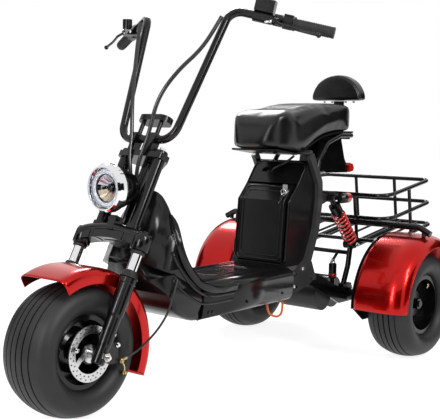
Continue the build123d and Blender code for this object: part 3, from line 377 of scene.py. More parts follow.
for side, hand_name in ((1, "left"), (-1, "right")):
    wiper = turned_mesh(hand_name + "_wiper_seal", [
        (STANCHION_R + 0.0004, 0.2432), (0.0285, 0.2432), (0.0285, 0.2455), (0.0262, 0.2470), (0.0262, 0.2540),
        (0.0236, 0.2560), (0.0236, 0.2600), (0.0205, 0.2650), (STANCHION_R + 0.0004, 0.2660)],
        on_fork(0, side * LEG_Y, 0), fork_up, 40, closed=True)
    add_piece(hand_name + "_wiper_seal", wiper, seal_rubber, "steering")
    collar = turned_mesh(hand_name + "_yoke_seal", [
        (STANCHION_R + 0.0004, 0.3180), (0.0205, 0.3180), (0.0222, 0.3200), (0.0222, 0.3296),
        (STANCHION_R + 0.0004, 0.3296)], on_fork(0, side * LEG_Y, 0), fork_up, 40, closed=True)
    add_piece(hand_name + "_yoke_seal", collar, seal_rubber, "steering")


def through(points, steps):
    """Points along a smooth line through the given ones."""
    found = []
    padded = [points[0]] + list(points) + [points[-1]]
    for a, b, c, d in zip(padded, padded[1:], padded[2:], padded[3:]):
        for k in range(steps):
            t = k / steps
            found.append(tuple(0.5 * (2 * q + (r - p) * t + (2 * p - 5 * q + 4 * r - s) * t * t
                                      + (3 * q - p - 3 * r + s) * t * t * t) for p, q, r, s in zip(a, b, c, d)))
    return found + [tuple(points[-1])]


def rod(name, points, radius, sides=16, flat=1.0, ring=False, spot_at=place):
    """A round rib or rod along points, with closed ends."""
    made = bmesh.new()
    spots = [spot_at(*p) for p in points]
    count = len(spots)
    loops = []
    up = None
    for k, spot in enumerate(spots):
        if ring:
            way = (spots[(k + 1) % count] - spots[k - 1]).normalized()
        else:
            way = (spots[min(k + 1, count - 1)] - spots[max(k - 1, 0)]).normalized()
        up = (up - way * up.dot(way)).normalized() if up else way.orthogonal().normalized()
        side = way.cross(up)
        loops.append([made.verts.new(spot + radius * (cos(a) * up + flat * sin(a) * side))
                      for a in (2 * pi * j / sides for j in range(sides))])
    for one, two in list(zip(loops, loops[1:])) + ([(loops[-1], loops[0])] if ring else []):
        for j in range(sides):
            made.faces.new((one[j], one[(j + 1) % sides], two[(j + 1) % sides], two[j]))
    if not ring:
        made.faces.new(loops[0])
        made.faces.new(loops[-1])
    bmesh.ops.recalc_face_normals(made, faces=made.faces)
    return as_mesh(made, name)


# The lower yoke's front is a smooth arch that hooks down over both stanchion tops.
arch = [(10, -141, 338), (12, -141, 356), (14, -132, 371), (16, -112, 380), (17, -60, 389), (18, 0, 392),
        (17, 60, 389), (16, 112, 380), (14, 132, 371), (12, 141, 356), (10, 141, 338)]
yoke_arch = rod("yoke_arch", through(arch, 6), 0.0135, 20, flat=0.75, spot_at=on_fork)
add_piece("yoke_arch", yoke_arch, black_paint, "steering")
for side, hand_name in ((1, "left"), (-1, "right")):
    sleeve = turned_mesh(hand_name + "_yoke_sleeve", [
        (0.0262, 0.3290), (0.0285, 0.3310), (0.0285, 0.3700), (0.0262, 0.3790), (0.0180, 0.3845), (0, 0.3860),
        (0, 0.3820), (0.0262, 0.3700)], on_fork(0, side * LEG_Y, 0), fork_up, 40)
    add_piece(hand_name + "_yoke_sleeve", sleeve, black_paint, "steering")

# Hexagon bolts: one tree sets a six-sided head with a washer on every point of a mesh,
# turned to the direction stored there.
bolt_tree = bpy.data.node_groups.new("bolt_heads", "GeometryNodeTree")
bolt_tree.interface.new_socket("Seats", in_out="INPUT", socket_type="NodeSocketGeometry")
bolt_size = bolt_tree.interface.new_socket("Across", in_out="INPUT", socket_type="NodeSocketFloat")
bolt_metal = bolt_tree.interface.new_socket("Metal", in_out="INPUT", socket_type="NodeSocketMaterial")
bolt_tree.interface.new_socket("Bolts", in_out="OUTPUT", socket_type="NodeSocketGeometry")
b_in = bolt_tree.nodes.new("NodeGroupInput")
b_out = bolt_tree.nodes.new("NodeGroupOutput")
b_head = bolt_tree.nodes.new("GeometryNodeMeshCylinder")
b_head.inputs["Vertices"].default_value = 6
b_head.inputs["Radius"].default_value = 0.5
b_head.inputs["Depth"].default_value = 0.55
b_washer = bolt_tree.nodes.new("GeometryNodeMeshCylinder")
b_washer.inputs["Vertices"].default_value = 24
b_washer.inputs["Radius"].default_value = 0.72
b_washer.inputs["Depth"].default_value = 0.12
b_lift = bolt_tree.nodes.new("GeometryNodeTransform")
b_lift.inputs["Translation"].default_value = (0, 0, 0.33)
b_join = bolt_tree.nodes.new("GeometryNodeJoinGeometry")
b_way = bolt_tree.nodes.new("GeometryNodeInputNamedAttribute")
b_way.data_type = "FLOAT_VECTOR"
b_way.inputs["Name"].default_value = "way"
b_turn = bolt_tree.nodes.new("FunctionNodeAlignRotationToVector")
b_turn.axis = "Z"
b_set = bolt_tree.nodes.new("GeometryNodeInstanceOnPoints")
b_real = bolt_tree.nodes.new("GeometryNodeRealizeInstances")
b_coat = bolt_tree.nodes.new("GeometryNodeSetMaterial")
wire(bolt_tree, [
    (b_head.outputs["Mesh"], b_lift.inputs["Geometry"]),
    (b_lift.outputs["Geometry"], b_join.inputs["Geometry"]),
    (b_washer.outputs["Mesh"], b_join.inputs["Geometry"]),
    (b_in.outputs["Seats"], b_set.inputs["Points"]),
    (b_join.outputs["Geometry"], b_set.inputs["Instance"]),
    (b_way.outputs["Attribute"], b_turn.inputs["Vector"]),
    (b_turn.outputs["Rotation"], b_set.inputs["Rotation"]),
    (b_in.outputs["Across"], b_set.inputs["Scale"]),
    (b_set.outputs["Instances"], b_real.inputs["Geometry"]),
    (b_real.outputs["Geometry"], b_coat.inputs["Geometry"]),
    (b_in.outputs["Metal"], b_coat.inputs["Material"]),
    (b_coat.outputs["Geometry"], b_out.inputs["Bolts"]),
])


def evaluated(holder):
    """The mesh that an object has after its modifiers."""
    return bpy.data.meshes.new_from_object(holder.evaluated_get(bpy.context.evaluated_depsgraph_get()))


def bolts(name, seats, across, body, metal):
    """Bolt heads of one size on one body, at (point, direction) seats."""
    seat_mesh = bpy.data.meshes.new(name + "_seats")
    seat_mesh.from_pydata([seat for seat, way in seats], [], [])
    ways = seat_mesh.attributes.new("way", "FLOAT_VECTOR", "POINT")
    for k, (seat, way) in enumerate(seats):
        ways.data[k].vector = Vector(way).normalized()
    holder = bpy.data.objects.new(name + "_seats", seat_mesh)
    collection.objects.link(holder)
    setter = holder.modifiers.new("bolts", "NODES")
    setter.node_group = bolt_tree
    setter[bolt_size.identifier] = across
    setter[bolt_metal.identifier] = metal
    made = evaluated(holder)
    made.name = name
    holder.modifiers.clear()
    bpy.data.objects.remove(holder)
    return add_piece(name, made, metal, body, smooth=False)


bolts("stanchion_caps", [(on_fork(0, side * LEG_Y, 382), fork_up) for side in (1, -1)], 0.017, "steering", black_paint)
bolts("upper_caps", [(on_fork(0, side * 72, 662), fork_up) for side in (1, -1)], 0.020, "steering", chrome)
bolts("axle_bolt", [(on_fork(0, 167.6, 0), (0, 1, 0)), (on_fork(0, -167.6, 0), (0, -1, 0))], 0.0085, "steering",
      chrome)

# ------------------------------------------------------------------ handlebar and controls
# A high one-piece steel bar in gloss black. Rubber grips slide on its ends; the perches,
# master cylinders and switch boxes are clamped on, and the levers are alloy.
grip_rubber = finish("grip_rubber", (0.012, 0.012, 0.012), (0.04, 0.04, 0.04), 0.55, 0.12, 1100, 0.3, 0.5, 0.2, 60,
                     specular=0.35)
black_plastic = finish("black_plastic", (0.0035, 0.0035, 0.004), (0.015, 0.015, 0.015), 0.25, 0.12, 1300, 0.08, 0.3,
                       0.2, 18, specular=0.30)
dress(black_paint, "handlebar", "brake_levers")
dress(grip_rubber, "grips")
dress(black_plastic, "bar_controls", "display")
bar_bend = Vector((848, 180, 1235))
bar_tip = Vector((697, 463, 1162))
grip_run = (bar_bend - bar_tip).normalized()
grip_rise = (Vector((0, 0, 1)) - grip_run * grip_run.z).normalized()
grip_front = grip_rise.cross(grip_run)


def on_bar(x, y, z, side=1):
    """A point in millimetres along a grip: inward from the bar's tip, forward, and up."""
    p = bar_tip + grip_run * x + grip_front * y + grip_rise * z
    return place(p.x, p.y * side, p.z)


def bar_way(x, y, z, side=1):
    """A direction along a grip's own axes."""
    d = grip_run * x + grip_front * y + grip_rise * z
    return Vector((d.x, d.y * side, d.z))


for side, hand_name in ((1, "left"), (-1, "right")):
    ribs = bmesh.new()
    for k in range(14):
        ring = turned_mesh("grip_rib", [(0.0174, 0), (0.0186, 0.0012), (0.0186, 0.0032), (0.0174, 0.0044)],
                           on_bar(8 + 7.2 * k, 0, 0, side), bar_way(1, 0, 0, side), 24)
        ribs.from_mesh(ring)
    add_piece(hand_name + "_grip_ribs", as_mesh(ribs, hand_name + "_grip_ribs"), grip_rubber, "steering")
    pivot = on_bar(173, 44, 2 if side > 0 else -2, side)
    bolts(hand_name + "_lever_pivot", [(pivot, bar_way(0, 0, 1, side))], 0.009, "steering", chrome)
    bolts(hand_name + "_perch_bolts", [(on_bar(166, 44, -2, side), bar_way(0, 1, 0, side)),
                                       (on_bar(180, 44, -14, side), bar_way(0, 1, 0, side))],
          0.006, "steering", chrome)
    ferrule = turned_mesh(hand_name + "_hose_ferrule", [
        (0, 0), (0.0055, 0), (0.0055, 0.006), (0.0038, 0.007), (0.0038, 0.022), (0.0030, 0.024), (0, 0.025)],
        on_bar(187, 26, -8, side), bar_way(1, 0.2, -0.35, side), 16)
    add_piece(hand_name + "_hose_ferrule", ferrule, chrome, "steering")

# The meter's window is smoked acrylic with a pale liquid crystal panel behind it.
meter_glass = finish("meter_glass", (0.004, 0.005, 0.006), (0.01, 0.01, 0.012), 0.06, 0.03, 300, 0.01, 0.2, 0.0, 30,
                     coat=1.0)
window = turned_mesh("meter_window", [(0, 0), (0.0205, 0), (0.0215, -0.0012), (0, -0.0012)], on_fork(4, 34, 781.4),
                     fork_up, 40)
add_piece("meter_window", window, meter_glass, "steering")

# ------------------------------------------------------------------ headlamp
# A round lamp: black pressed shell, deep chromed bezel, clear glass, and behind it a
# faceted mirror bowl, a pale ring of light guide and a dark projector in the middle.
lamp_glass = bpy.data.materials.new("lamp_glass")
lamp_glass.use_nodes = True
glass_tree = lamp_glass.node_tree
glass_shader = glass_tree.nodes["Principled BSDF"]
glass_shader.inputs["Base Color"].default_value = (0.96, 0.97, 1.0, 1)
glass_shader.inputs["Transmission Weight"].default_value = 1.0
glass_shader.inputs["IOR"].default_value = 1.08
glass_skin = glass_tree.nodes.new("ShaderNodeGroup")
glass_skin.node_tree = grain
for socket, value in (("Scale", 60), ("Depth", 0.02), ("Roughness", 0.02), ("Spread", 0.02)):
    glass_skin.inputs[socket].default_value = value
glass_tree.links.new(glass_skin.outputs["Roughness"], glass_shader.inputs["Roughness"])
glass_tree.links.new(glass_skin.outputs["Normal"], glass_shader.inputs["Normal"])
mirror_bowl = finish("mirror_bowl", (0.86, 0.84, 0.80), (0.7, 0.66, 0.6), 0.08, 0.05, 400, 0.02, 0.3, 0.0, 30,
                     metallic=1.0)
facet_tree = mirror_bowl.node_tree
facet_place = facet_tree.nodes.new("ShaderNodeTexCoord")
facet_cells = facet_tree.nodes.new("ShaderNodeTexVoronoi")
facet_cells.feature = "F1"
facet_cells.inputs["Scale"].default_value = 70
facet_bump = facet_tree.nodes.new("ShaderNodeBump")
facet_bump.inputs["Strength"].default_value = 0.7
facet_bump.inputs["Distance"].default_value = 0.004
wire(facet_tree, [
    (facet_place.outputs["Object"], facet_cells.inputs["Vector"]),
    (facet_cells.outputs["Distance"], facet_bump.inputs["Height"]),
    (facet_bump.outputs["Normal"], facet_tree.nodes["Principled BSDF"].inputs["Normal"]),
])
dress(black_paint, "headlight_shell")
dress(chrome, "headlight_ring")
dress(lamp_glass, "headlight_lens")
dress(mirror_bowl, "headlight_reflector")
lamp_back = place(1104, 0, 675)
ahead = Vector((1, 0, 0))
ring_white = finish("ring_white", (0.62, 0.64, 0.68), (0.5, 0.5, 0.5), 0.3, 0.05, 600, 0.02, 0.2, 0.0, 40)
guide = turned_mesh("lamp_light_ring", [(0.0440, 0.1110), (0.0440, 0.1150), (0.0605, 0.1150), (0.0605, 0.1110)],
                    lamp_back, ahead, 64, closed=True)
add_piece("lamp_light_ring", guide, ring_white, "steering")
lamp_black = finish("lamp_black", (0.006, 0.006, 0.007), (0.012, 0.012, 0.012), 0.3, 0.05, 600, 0.04, 0.2, 0.0, 40,
                    specular=0.35)
step_ring = turned_mesh("lamp_step", [(0.0415, 0.0980), (0.0437, 0.1145), (0.0425, 0.1145), (0.0400, 0.0980)],
                        lamp_back, ahead, 64, closed=True)
add_piece("lamp_step", step_ring, lamp_black, "steering")
amber = finish("amber_bowl", (0.62, 0.50, 0.36), (0.40, 0.30, 0.2), 0.16, 0.05, 400, 0.02, 0.3, 0.0, 30, metallic=0.55)
facet_silver = finish("facet_silver", (0.50, 0.50, 0.52), (0.30, 0.30, 0.32), 0.16, 0.05, 400, 0.02, 0.3, 0.0, 30,
                      metallic=0.6)
for name, low in (("upper", 1), ("lower", -1)):
    wing = bmesh.new()
    rows = []
    for i in range(7):
        r = 0.0145 + 0.0045 * i
        rows.append([
            wing.verts.new(lamp_back + Vector((0.088 + 0.0035 * i - 0.0016 * (k % 2), r * sin(a), low * r * cos(a))))
            for k, a in enumerate(radians(-77 + 14 * j) for j in range(12))])
    for inner_row, outer_row in zip(rows, rows[1:]):
        for k in range(11):
            wing.faces.new((inner_row[k], inner_row[k + 1], outer_row[k + 1], outer_row[k]))
    bmesh.ops.recalc_face_normals(wing, faces=wing.faces)
    bmesh.ops.solidify(wing, geom=wing.faces[:], thickness=0.0012)
    add_piece(name + "_facets", as_mesh(wing, name + "_facets"), amber if low < 0 else facet_silver, "steering",
              smooth=False)
projector = turned_mesh("lamp_projector", [(0, 0.100), (0.008, 0.0995), (0.0125, 0.0955), (0.0125, 0.0835),
                                           (0, 0.0835)], lamp_back, ahead, 32)
add_piece("lamp_projector", projector, lamp_black, "steering")
bolts("lamp_bolts", [(place(1150, side * 15.6, 636), (0, side, 0)) for side in (1, -1)], 0.010, "steering", chrome)

# ------------------------------------------------------------------ front mudguard
# Pressed steel sheet over the front tyre, in candy red: a bright metal ground under transparent red lacquer and a thick
# clear coat. Its second, brighter orange-red colour is painted highlight: the paint's lit tone, laid on in patches and
# along sharp edges.
candy_red = finish("candy_red", (0.46, 0.0015, 0.001), (0.62, 0.012, 0.003), 0.22, 0.05, 2600, 0.02, 0.4, 0.12, 6,
                   metallic=0.85, coat=0.30, specular=0.3)


def arched(name, section, first, last, hub, side=1, steps=64, thick=0.0024):
    """Sheet pressed round a wheel: a section of (radius, Y) carried from one angle to another."""
    made = bmesh.new()
    rows = []
    for k in range(steps + 1):
        turn = radians(first + (last - first) * k / steps)
        rows.append([made.verts.new(place(hub + r * cos(turn), side * y, 203 + r * sin(turn))) for r, y in section])
    for one, two in zip(rows, rows[1:]):
        for k in range(len(section) - 1):
            made.faces.new((one[k], one[k + 1], two[k + 1], two[k]))
    bmesh.ops.recalc_face_normals(made, faces=made.faces)
    middle = rows[steps // 2][len(section) // 2]
    if middle.link_faces[0].normal.z < 0:
        bmesh.ops.reverse_faces(made, faces=made.faces)
    bmesh.ops.solidify(made, geom=made.faces[:], thickness=thick)
    return as_mesh(made, name)


guard_half = through([(205, 99), (220, 99.2), (235, 98), (245, 92), (250.2, 80), (251.8, 60), (252.2, 0)], 5)
guard_section = guard_half + [(r, -y) for r, y in reversed(guard_half[:-1])]
guard_main = arched("front_guard", guard_section, 64, 206, 1363)
mudguard = add_piece("front_guard", guard_main, candy_red, "steering")
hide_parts("front_mudguard")
guard_lip = rod("guard_lip", through([(1363 + r * cos(radians(206)), y, 203 + r * sin(radians(206)))
                                      for r, y in guard_section[::6]], 3), 0.0022, 8)
add_piece("guard_lip", guard_lip, candy_red, "steering")
bolts("mudguard_bolts", [(place(1363 + 62, side * 99.6, 203 + 22), (0, side, 0)) for side in (1, -1)], 0.010,
      "steering", chrome)

# ------------------------------------------------------------------ caliper and hose
# A cast two-piston caliper in black, on its bracket behind the left leg. The hose is
# black rubber over braid, 7 mm thick, with a brass banjo union and a bent pipe.
caliper_black = finish("caliper_black", (0.007, 0.007, 0.007), (0.035, 0.034, 0.032), 0.42, 0.14, 260, 0.35, 0.4, 0.3,
                       40, specular=0.4)
lead_rubber = finish("lead_rubber", (0.008, 0.008, 0.008), (0.028, 0.028, 0.028), 0.36, 0.1, 900, 0.1, 0.35, 0.1, 50,
                     specular=0.4)
dress(caliper_black, "brake_caliper")


def smooth_route(name, points, bevel=0.0):
    """A cord's curve: one open spline with the route's points as its control points."""
    curve = bpy.data.curves.new(name, "CURVE")
    curve.dimensions = "3D"
    spline = curve.splines.new("NURBS")
    spline.points.add(len(points) - 1)
    for k, p in enumerate(points):
        spline.points[k].co = (*place(*p), 1)
    spline.order_u = 3
    spline.use_endpoint_u = True
    spline.resolution_u = 12
    curve.bevel_depth = bevel
    curve.bevel_resolution = 5
    curve.use_fill_caps = True
    return curve


hose_route = [(1262, 112, 168), (1222, 124, 182), (1180, 140, 214), (1140, 154, 254), (1105, 160, 300),
              (1082, 158, 350), (1058, 152, 392)]
brake_hose = bpy.data.objects.new("brake_hose", smooth_route("brake_hose", hose_route, 0.0035))
collection.objects.link(brake_hose)
brake_hose.data.materials.append(lead_rubber)
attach(brake_hose, "steering")
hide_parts("front_brake_hose")
hose_start = place(1262, 112, 168)
hose_way = (place(1222, 124, 182) - hose_start).normalized()
union = turned_mesh("hose_union", [(0, -0.004), (0.0062, -0.004), (0.0062, 0.006), (0.0046, 0.007), (0.0046, 0.020),
                                   (0.0039, 0.0215), (0, 0.0225)], hose_start, hose_way, 24)
add_piece("hose_union", union, brass, "steering")
banjo = turned_mesh("banjo_bolt", [(0, 0), (0.0068, 0), (0.0068, 0.011), (0.0052, 0.0115), (0.0052, 0.016),
                                   (0, 0.0165)], place(1262, 104, 166), (0, 1, 0), 6)
add_piece("banjo_bolt", banjo, brass, "steering", smooth=False)
pipe = rod("bleed_pipe", through([(1262, 112, 168), (1254, 115, 156), (1249, 114, 142), (1247, 110, 130)], 8),
           0.0024, 12)
add_piece("bleed_pipe", pipe, brass, "steering")
nipple = turned_mesh("bleed_nipple", [(0, 0), (0.0066, 0), (0.0066, 0.010), (0.0048, 0.0105), (0.0048, 0.016),
                                      (0, 0.0165)], place(1247, 101, 128), (0, 1, 0), 6)
add_piece("bleed_nipple", nipple, brass, "steering", smooth=False)
bolts("caliper_bolts", [(place(1301, 121.2, 254), (0, 1, 0)), (place(1272, 109, 216), (0, 1, 0))], 0.010, "steering",
      chrome)

# ------------------------------------------------------------------ cable looms
# Wires and brake hoses run from each bar end down behind the lamp in 13 mm split
# corrugated tube of black polyamide, tied to the bar and pushed into the head.
loom_tree = bpy.data.node_groups.new("corrugated_tube", "GeometryNodeTree")
loom_tree.interface.new_socket("Route", in_out="INPUT", socket_type="NodeSocketGeometry")
loom_pitch = loom_tree.interface.new_socket("Step", in_out="INPUT", socket_type="NodeSocketFloat")
loom_crest = loom_tree.interface.new_socket("Crest", in_out="INPUT", socket_type="NodeSocketFloat")
loom_coat = loom_tree.interface.new_socket("Skin", in_out="INPUT", socket_type="NodeSocketMaterial")
loom_tree.interface.new_socket("Tube", in_out="OUTPUT", socket_type="NodeSocketGeometry")
l_in = loom_tree.nodes.new("NodeGroupInput")
l_out = loom_tree.nodes.new("NodeGroupOutput")
l_even = loom_tree.nodes.new("GeometryNodeResampleCurve")
l_even.mode = "LENGTH"
l_index = loom_tree.nodes.new("GeometryNodeInputIndex")
l_beat = loom_tree.nodes.new("ShaderNodeMath")
l_beat.operation = "MODULO"
l_beat.inputs[1].default_value = 4
l_high = loom_tree.nodes.new("ShaderNodeMath")
l_high.operation = "LESS_THAN"
l_high.inputs[1].default_value = 1.5
l_size = loom_tree.nodes.new("ShaderNodeMapRange")
l_size.inputs["To Min"].default_value = 0.74
l_size.inputs["To Max"].default_value = 1.0
l_swell = loom_tree.nodes.new("GeometryNodeSetCurveRadius")
l_ring = loom_tree.nodes.new("GeometryNodeCurvePrimitiveCircle")
l_ring.inputs["Resolution"].default_value = 14
l_sweep = loom_tree.nodes.new("GeometryNodeCurveToMesh")
l_sweep.inputs["Fill Caps"].default_value = True
l_real = loom_tree.nodes.new("GeometryNodeRealizeInstances")
l_set = loom_tree.nodes.new("GeometryNodeSetMaterial")
wire(loom_tree, [
    (l_in.outputs["Route"], l_even.inputs["Curve"]),
    (l_in.outputs["Step"], l_even.inputs["Length"]),
    (l_index.outputs["Index"], l_beat.inputs[0]),
    (l_beat.outputs[0], l_high.inputs[0]),
    (l_high.outputs[0], l_size.inputs["Value"]),
    (l_even.outputs["Curve"], l_swell.inputs["Curve"]),
    (l_size.outputs["Result"], l_swell.inputs["Radius"]),
    (l_in.outputs["Crest"], l_ring.inputs["Radius"]),
    (l_swell.outputs["Curve"], l_sweep.inputs["Curve"]),
    (l_ring.outputs["Curve"], l_sweep.inputs["Profile Curve"]),
    (l_sweep.outputs["Mesh"], l_real.inputs["Geometry"]),
    (l_real.outputs["Geometry"], l_set.inputs["Geometry"]),
    (l_in.outputs["Skin"], l_set.inputs["Material"]),
    (l_set.outputs["Geometry"], l_out.inputs["Tube"]),
])

loom_routes = {
    "left_loom": [(892, 178, 1210), (922, 164, 1155), (956, 142, 1100), (1006, 108, 1045), (1044, 78, 985),
                  (1062, 58, 930), (1068, 44, 870), (1078, 34, 820), (1096, 28, 775), (1100, 15, 733),
                  (1100, 12, 700.5)],
    "right_loom": [(892, -178, 1210), (924, -158, 1145), (956, -134, 1085), (1000, -100, 1015), (1036, -70, 945),
                   (1058, -50, 880), (1070, -38, 825), (1090, -28, 780), (1100, -15, 735), (1100, -12, 700.5)],
}
loom_black = finish("loom_black", (0.013, 0.013, 0.013), (0.05, 0.05, 0.05), 0.26, 0.08, 900, 0.06, 0.3, 0.25, 50,
                    specular=0.45)
for name, route in loom_routes.items():
    line = bpy.data.objects.new(name + "_line", smooth_route(name + "_line", route))
    collection.objects.link(line)
    bare_line = evaluated(line)
    corrugate = line.modifiers.new("corrugated", "NODES")
    corrugate.node_group = loom_tree
    corrugate[loom_pitch.identifier] = 0.0020
    corrugate[loom_crest.identifier] = 0.0064
    corrugate[loom_coat.identifier] = loom_black
    tube_mesh = evaluated(line)
    tube_mesh.name = name
    line.modifiers.clear()
    bpy.data.objects.remove(line)
    loom = add_piece(name, tube_mesh, loom_black, "steering", smooth=False)
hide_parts("bar_looms")

# ------------------------------------------------------------------ front shield and floor
# The step-through body is moulded in black plastic: a shield behind the fork that
# curves down into the floor, with a rolled rim and two ribs that run on round the floor.
body_black = finish("body_black", (0.0035, 0.0035, 0.004), (0.015, 0.015, 0.015), 0.21, 0.10, 1500, 0.04, 0.28, 0.15,
                    12, specular=0.32)
WHEELBASE = 1363
rider_edge = [(-307, 664), (-323, 657), (-329, 636), (-329, 600), (-328, 560), (-331, 520), (-339, 478), (-356, 436),
              (-386, 396), (-423, 361)]
shield_nose = [(-433, 308), (-433, 240), (-390, 246), (-334, 267), (-297, 290), (-285, 318), (-268, 345), (-236, 392),
               (-222, 432), (-220, 499), (-230, 540), (-264, 605), (-287, 653)]
shield_width = [(238, 132), (252, 142), (270, 148), (308, 152), (420, 147), (510, 138), (566, 121), (612, 98),
                (645, 72), (664, 48)]


def width_at(z, table):
    """A half-width read from a table of (height, half-width)."""
    for (z0, w0), (z1, w1) in zip(table, table[1:]):
        if z <= z1:
            return w0 + (w1 - w0) * max(0, min(1, (z - z0) / (z1 - z0)))
    return table[-1][1]


def moulded(name, outline, widths, corner, steps=4):
    """A closed moulding from a side outline in millimetres, as wide as its table says, with round long edges."""
    made = bmesh.new()
    flat = [Vector((x, z)) for x, z in outline]
    area = sum(a.x * b.y - b.x * a.y for a, b in zip(flat, flat[1:] + flat[:1]))
    inward = []
    for before, after in zip(flat[-1:] + flat[:-1], flat[1:] + flat[:1]):
        way = (after - before).normalized()
        inward.append(Vector((-way.y, way.x)) * (1 if area > 0 else -1))
    turns = [pi / 2 * k / steps for k in range(steps + 1)]
    slices = [(1, a) for a in turns] + [(-1, a) for a in reversed(turns)]
    loops = []
    for side, a in slices:
        loop = []
        for point, way in zip(flat, inward):
            half = width_at(point.y, widths)
            spot = point + way * corner * (1 - sin(a))
            loop.append(made.verts.new(place(spot.x, side * (half - corner * (1 - cos(a))), spot.y)))
        loops.append(loop)
    count = len(flat)
    for one, two in zip(loops, loops[1:]):
        for k in range(count):
            made.faces.new((one[k], one[(k + 1) % count], two[(k + 1) % count], two[k]))
    for loop in (loops[0], loops[-1]):
        for tri in tessellate_polygon([[Vector((v.co.x, v.co.z, 0)) for v in loop]]):
            made.faces.new([loop[i] for i in tri])
    bmesh.ops.recalc_face_normals(made, faces=made.faces)
    return as_mesh(made, name)


def prism(name, outline, low, high, spot):
    """A closed prism: an outline in a plane and two heights, each corner placed by a function."""
    made = bmesh.new()
    floor_ring = [made.verts.new(spot(x, y, low)) for x, y in outline]
    top_ring = [made.verts.new(spot(x, y, high)) for x, y in outline]
    count = len(outline)
    for k in range(count):
        made.faces.new((floor_ring[k], floor_ring[(k + 1) % count], top_ring[(k + 1) % count], top_ring[k]))
    made.faces.new(floor_ring)
    made.faces.new(top_ring)
    bmesh.ops.triangulate(made, faces=[f for f in made.faces if len(f.verts) > 4])
    bmesh.ops.recalc_face_normals(made, faces=made.faces)
    return as_mesh(made, name)


def trimmed(name, mesh, tool, operation):
    """A mesh cut by a closed tool mesh."""
    blank = bpy.data.objects.new(name, mesh)
    cutter = bpy.data.objects.new(name + "_tool", tool)
    collection.objects.link(blank)
    collection.objects.link(cutter)
    cut = blank.modifiers.new("cut", "BOOLEAN")
    cut.operation = operation
    cut.solver = "EXACT"
    cut.object = cutter
    made = evaluated(blank)
    made.name = name
    bpy.data.objects.remove(blank)
    bpy.data.objects.remove(cutter)
    return made


def joined(name, meshes):
    """Several closed meshes as one."""
    made = bmesh.new()
    for mesh in meshes:
        made.from_mesh(mesh)
    return as_mesh(made, name)


def on_stem(x, y, z):
    """A point in millimetres from the steering axis beside the front hub: forward, across and up the stem."""
    return on_fork(x - 45, y, z)


clear_low = [(40, -26), (40, 26), (16, 46), (-75, 86), (-124, 156), (-420, 156), (-420, -156), (-124, -156), (-75, -86),
             (16, -46)]
clear_high = [(8, 0), (-4, 26), (-18, 46), (-46, 86), (-63, 110), (-95, 160), (-420, 160), (-420, -160), (-95, -160),
              (-63, -110), (-46, -86), (-18, -46), (-4, -26)]
YOKE_Z = 330
shield_outline = [(WHEELBASE + x, z) for x, z in through(rider_edge, 5) + through(shield_nose[:2], 1)
                  + through(shield_nose[1:], 3)]
shield_side = moulded("shield", shield_outline, shield_width, 11)
roll_line = [(-290, 56, 660), (-304, 82, 634), (-313, 104, 603), (-317, 121, 566), (-320, 134, 522), (-328, 142, 478),
             (-346, 147, 436), (-375, 149, 399), (-413, 150, 366), (-460, 150, 345), (-513, 150, 336), (-563, 150, 335),
             (-700, 150, 335), (-840, 150, 335), (-947, 150, 335)]
ridge_line = [(-244, 108, 592), (-270, 127, 548), (-284, 140, 494), (-305, 145, 448), (-341, 148.5, 399),
              (-381, 150, 358), (-428, 151, 329), (-478, 151, 317), (-530, 151, 314), (-566, 151, 314),
              (-700, 151, 314), (-840, 151, 314), (-947, 151, 314)]
lower_line = [(-241, 143.5, 463), (-275, 147.5, 407), (-313, 149.5, 367), (-366, 151, 328), (-421, 151.5, 300),
              (-479, 150.5, 293), (-530, 150.5, 292), (-568, 150.5, 292), (-700, 150.5, 292), (-840, 150.5, 292),
              (-947, 150.5, 292)]
ribs = []
for line, radius in ((roll_line, 15), (ridge_line, 6), (lower_line, 4.5)):
    for side in (1, -1):
        smooth_line = [(WHEELBASE + x, side * y, z) for x, y, z in through(line, 6)]
        ribs.append(rod("shield_rib", smooth_line, radius / 1000, 16))
shield_parts = []
for k, mesh in enumerate([shield_side] + ribs):
    for low, high, plan in ((-150, YOKE_Z - 9, clear_low), (YOKE_Z - 9, YOKE_Z + 566, clear_high)):
        part = trimmed("shield_part", mesh.copy(), prism("fork_room", plan, low, high, on_stem), "INTERSECT")
        if len(part.polygons):
            shield_parts.append(part)
shield = add_piece("front_shield", joined("front_shield", shield_parts), body_black, "chassis")
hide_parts("front_cover")

# The floor: a flat tray with the belly pan under it; its long edges fall away to the
# rolled rim, an oval is raised in its middle, and short tread ribs stand each side.
floor_section = [(0, 238), (112, 238), (124, 239), (134, 243), (142, 250), (147, 262), (151, 290), (152, 330),
                 (149, 341), (140, 349), (126, 356), (112, 357), (0, 357)]
tray = bmesh.new()
tray_ring = floor_section + [(-y, z) for y, z in reversed(floor_section[1:-1])]
tray_ends = [[tray.verts.new(place(x, y, z)) for y, z in tray_ring] for x in (430.3, 930)]
for k in range(len(tray_ring)):
    j = (k + 1) % len(tray_ring)
    tray.faces.new((tray_ends[0][k], tray_ends[0][j], tray_ends[1][j], tray_ends[1][k]))
for end in tray_ends:
    tray.faces.new(end)
bmesh.ops.recalc_face_normals(tray, faces=tray.faces)
tray_mesh = as_mesh(tray, "floor_tray")
oval = [(660 + 112 * cos(a) * abs(cos(a)) ** -0.45 if abs(cos(a)) > 1e-6 else 660,
         54 * sin(a) * abs(sin(a)) ** -0.35 if abs(sin(a)) > 1e-6 else 0, 357.3)
        for a in (2 * pi * k / 64 for k in range(64))]
rim_oval = rod("floor_oval", oval, 0.0022, 8, ring=True)
tray_piece = add_piece("floor_tray", joined("floor_tray", [tray_mesh, rim_oval]), body_black, "chassis")
for face in tray_piece.data.polygons:
    face.use_smooth = abs(face.normal.z) < 0.999 and abs(face.normal.x) < 0.999
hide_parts("belly_pan", "footboard")

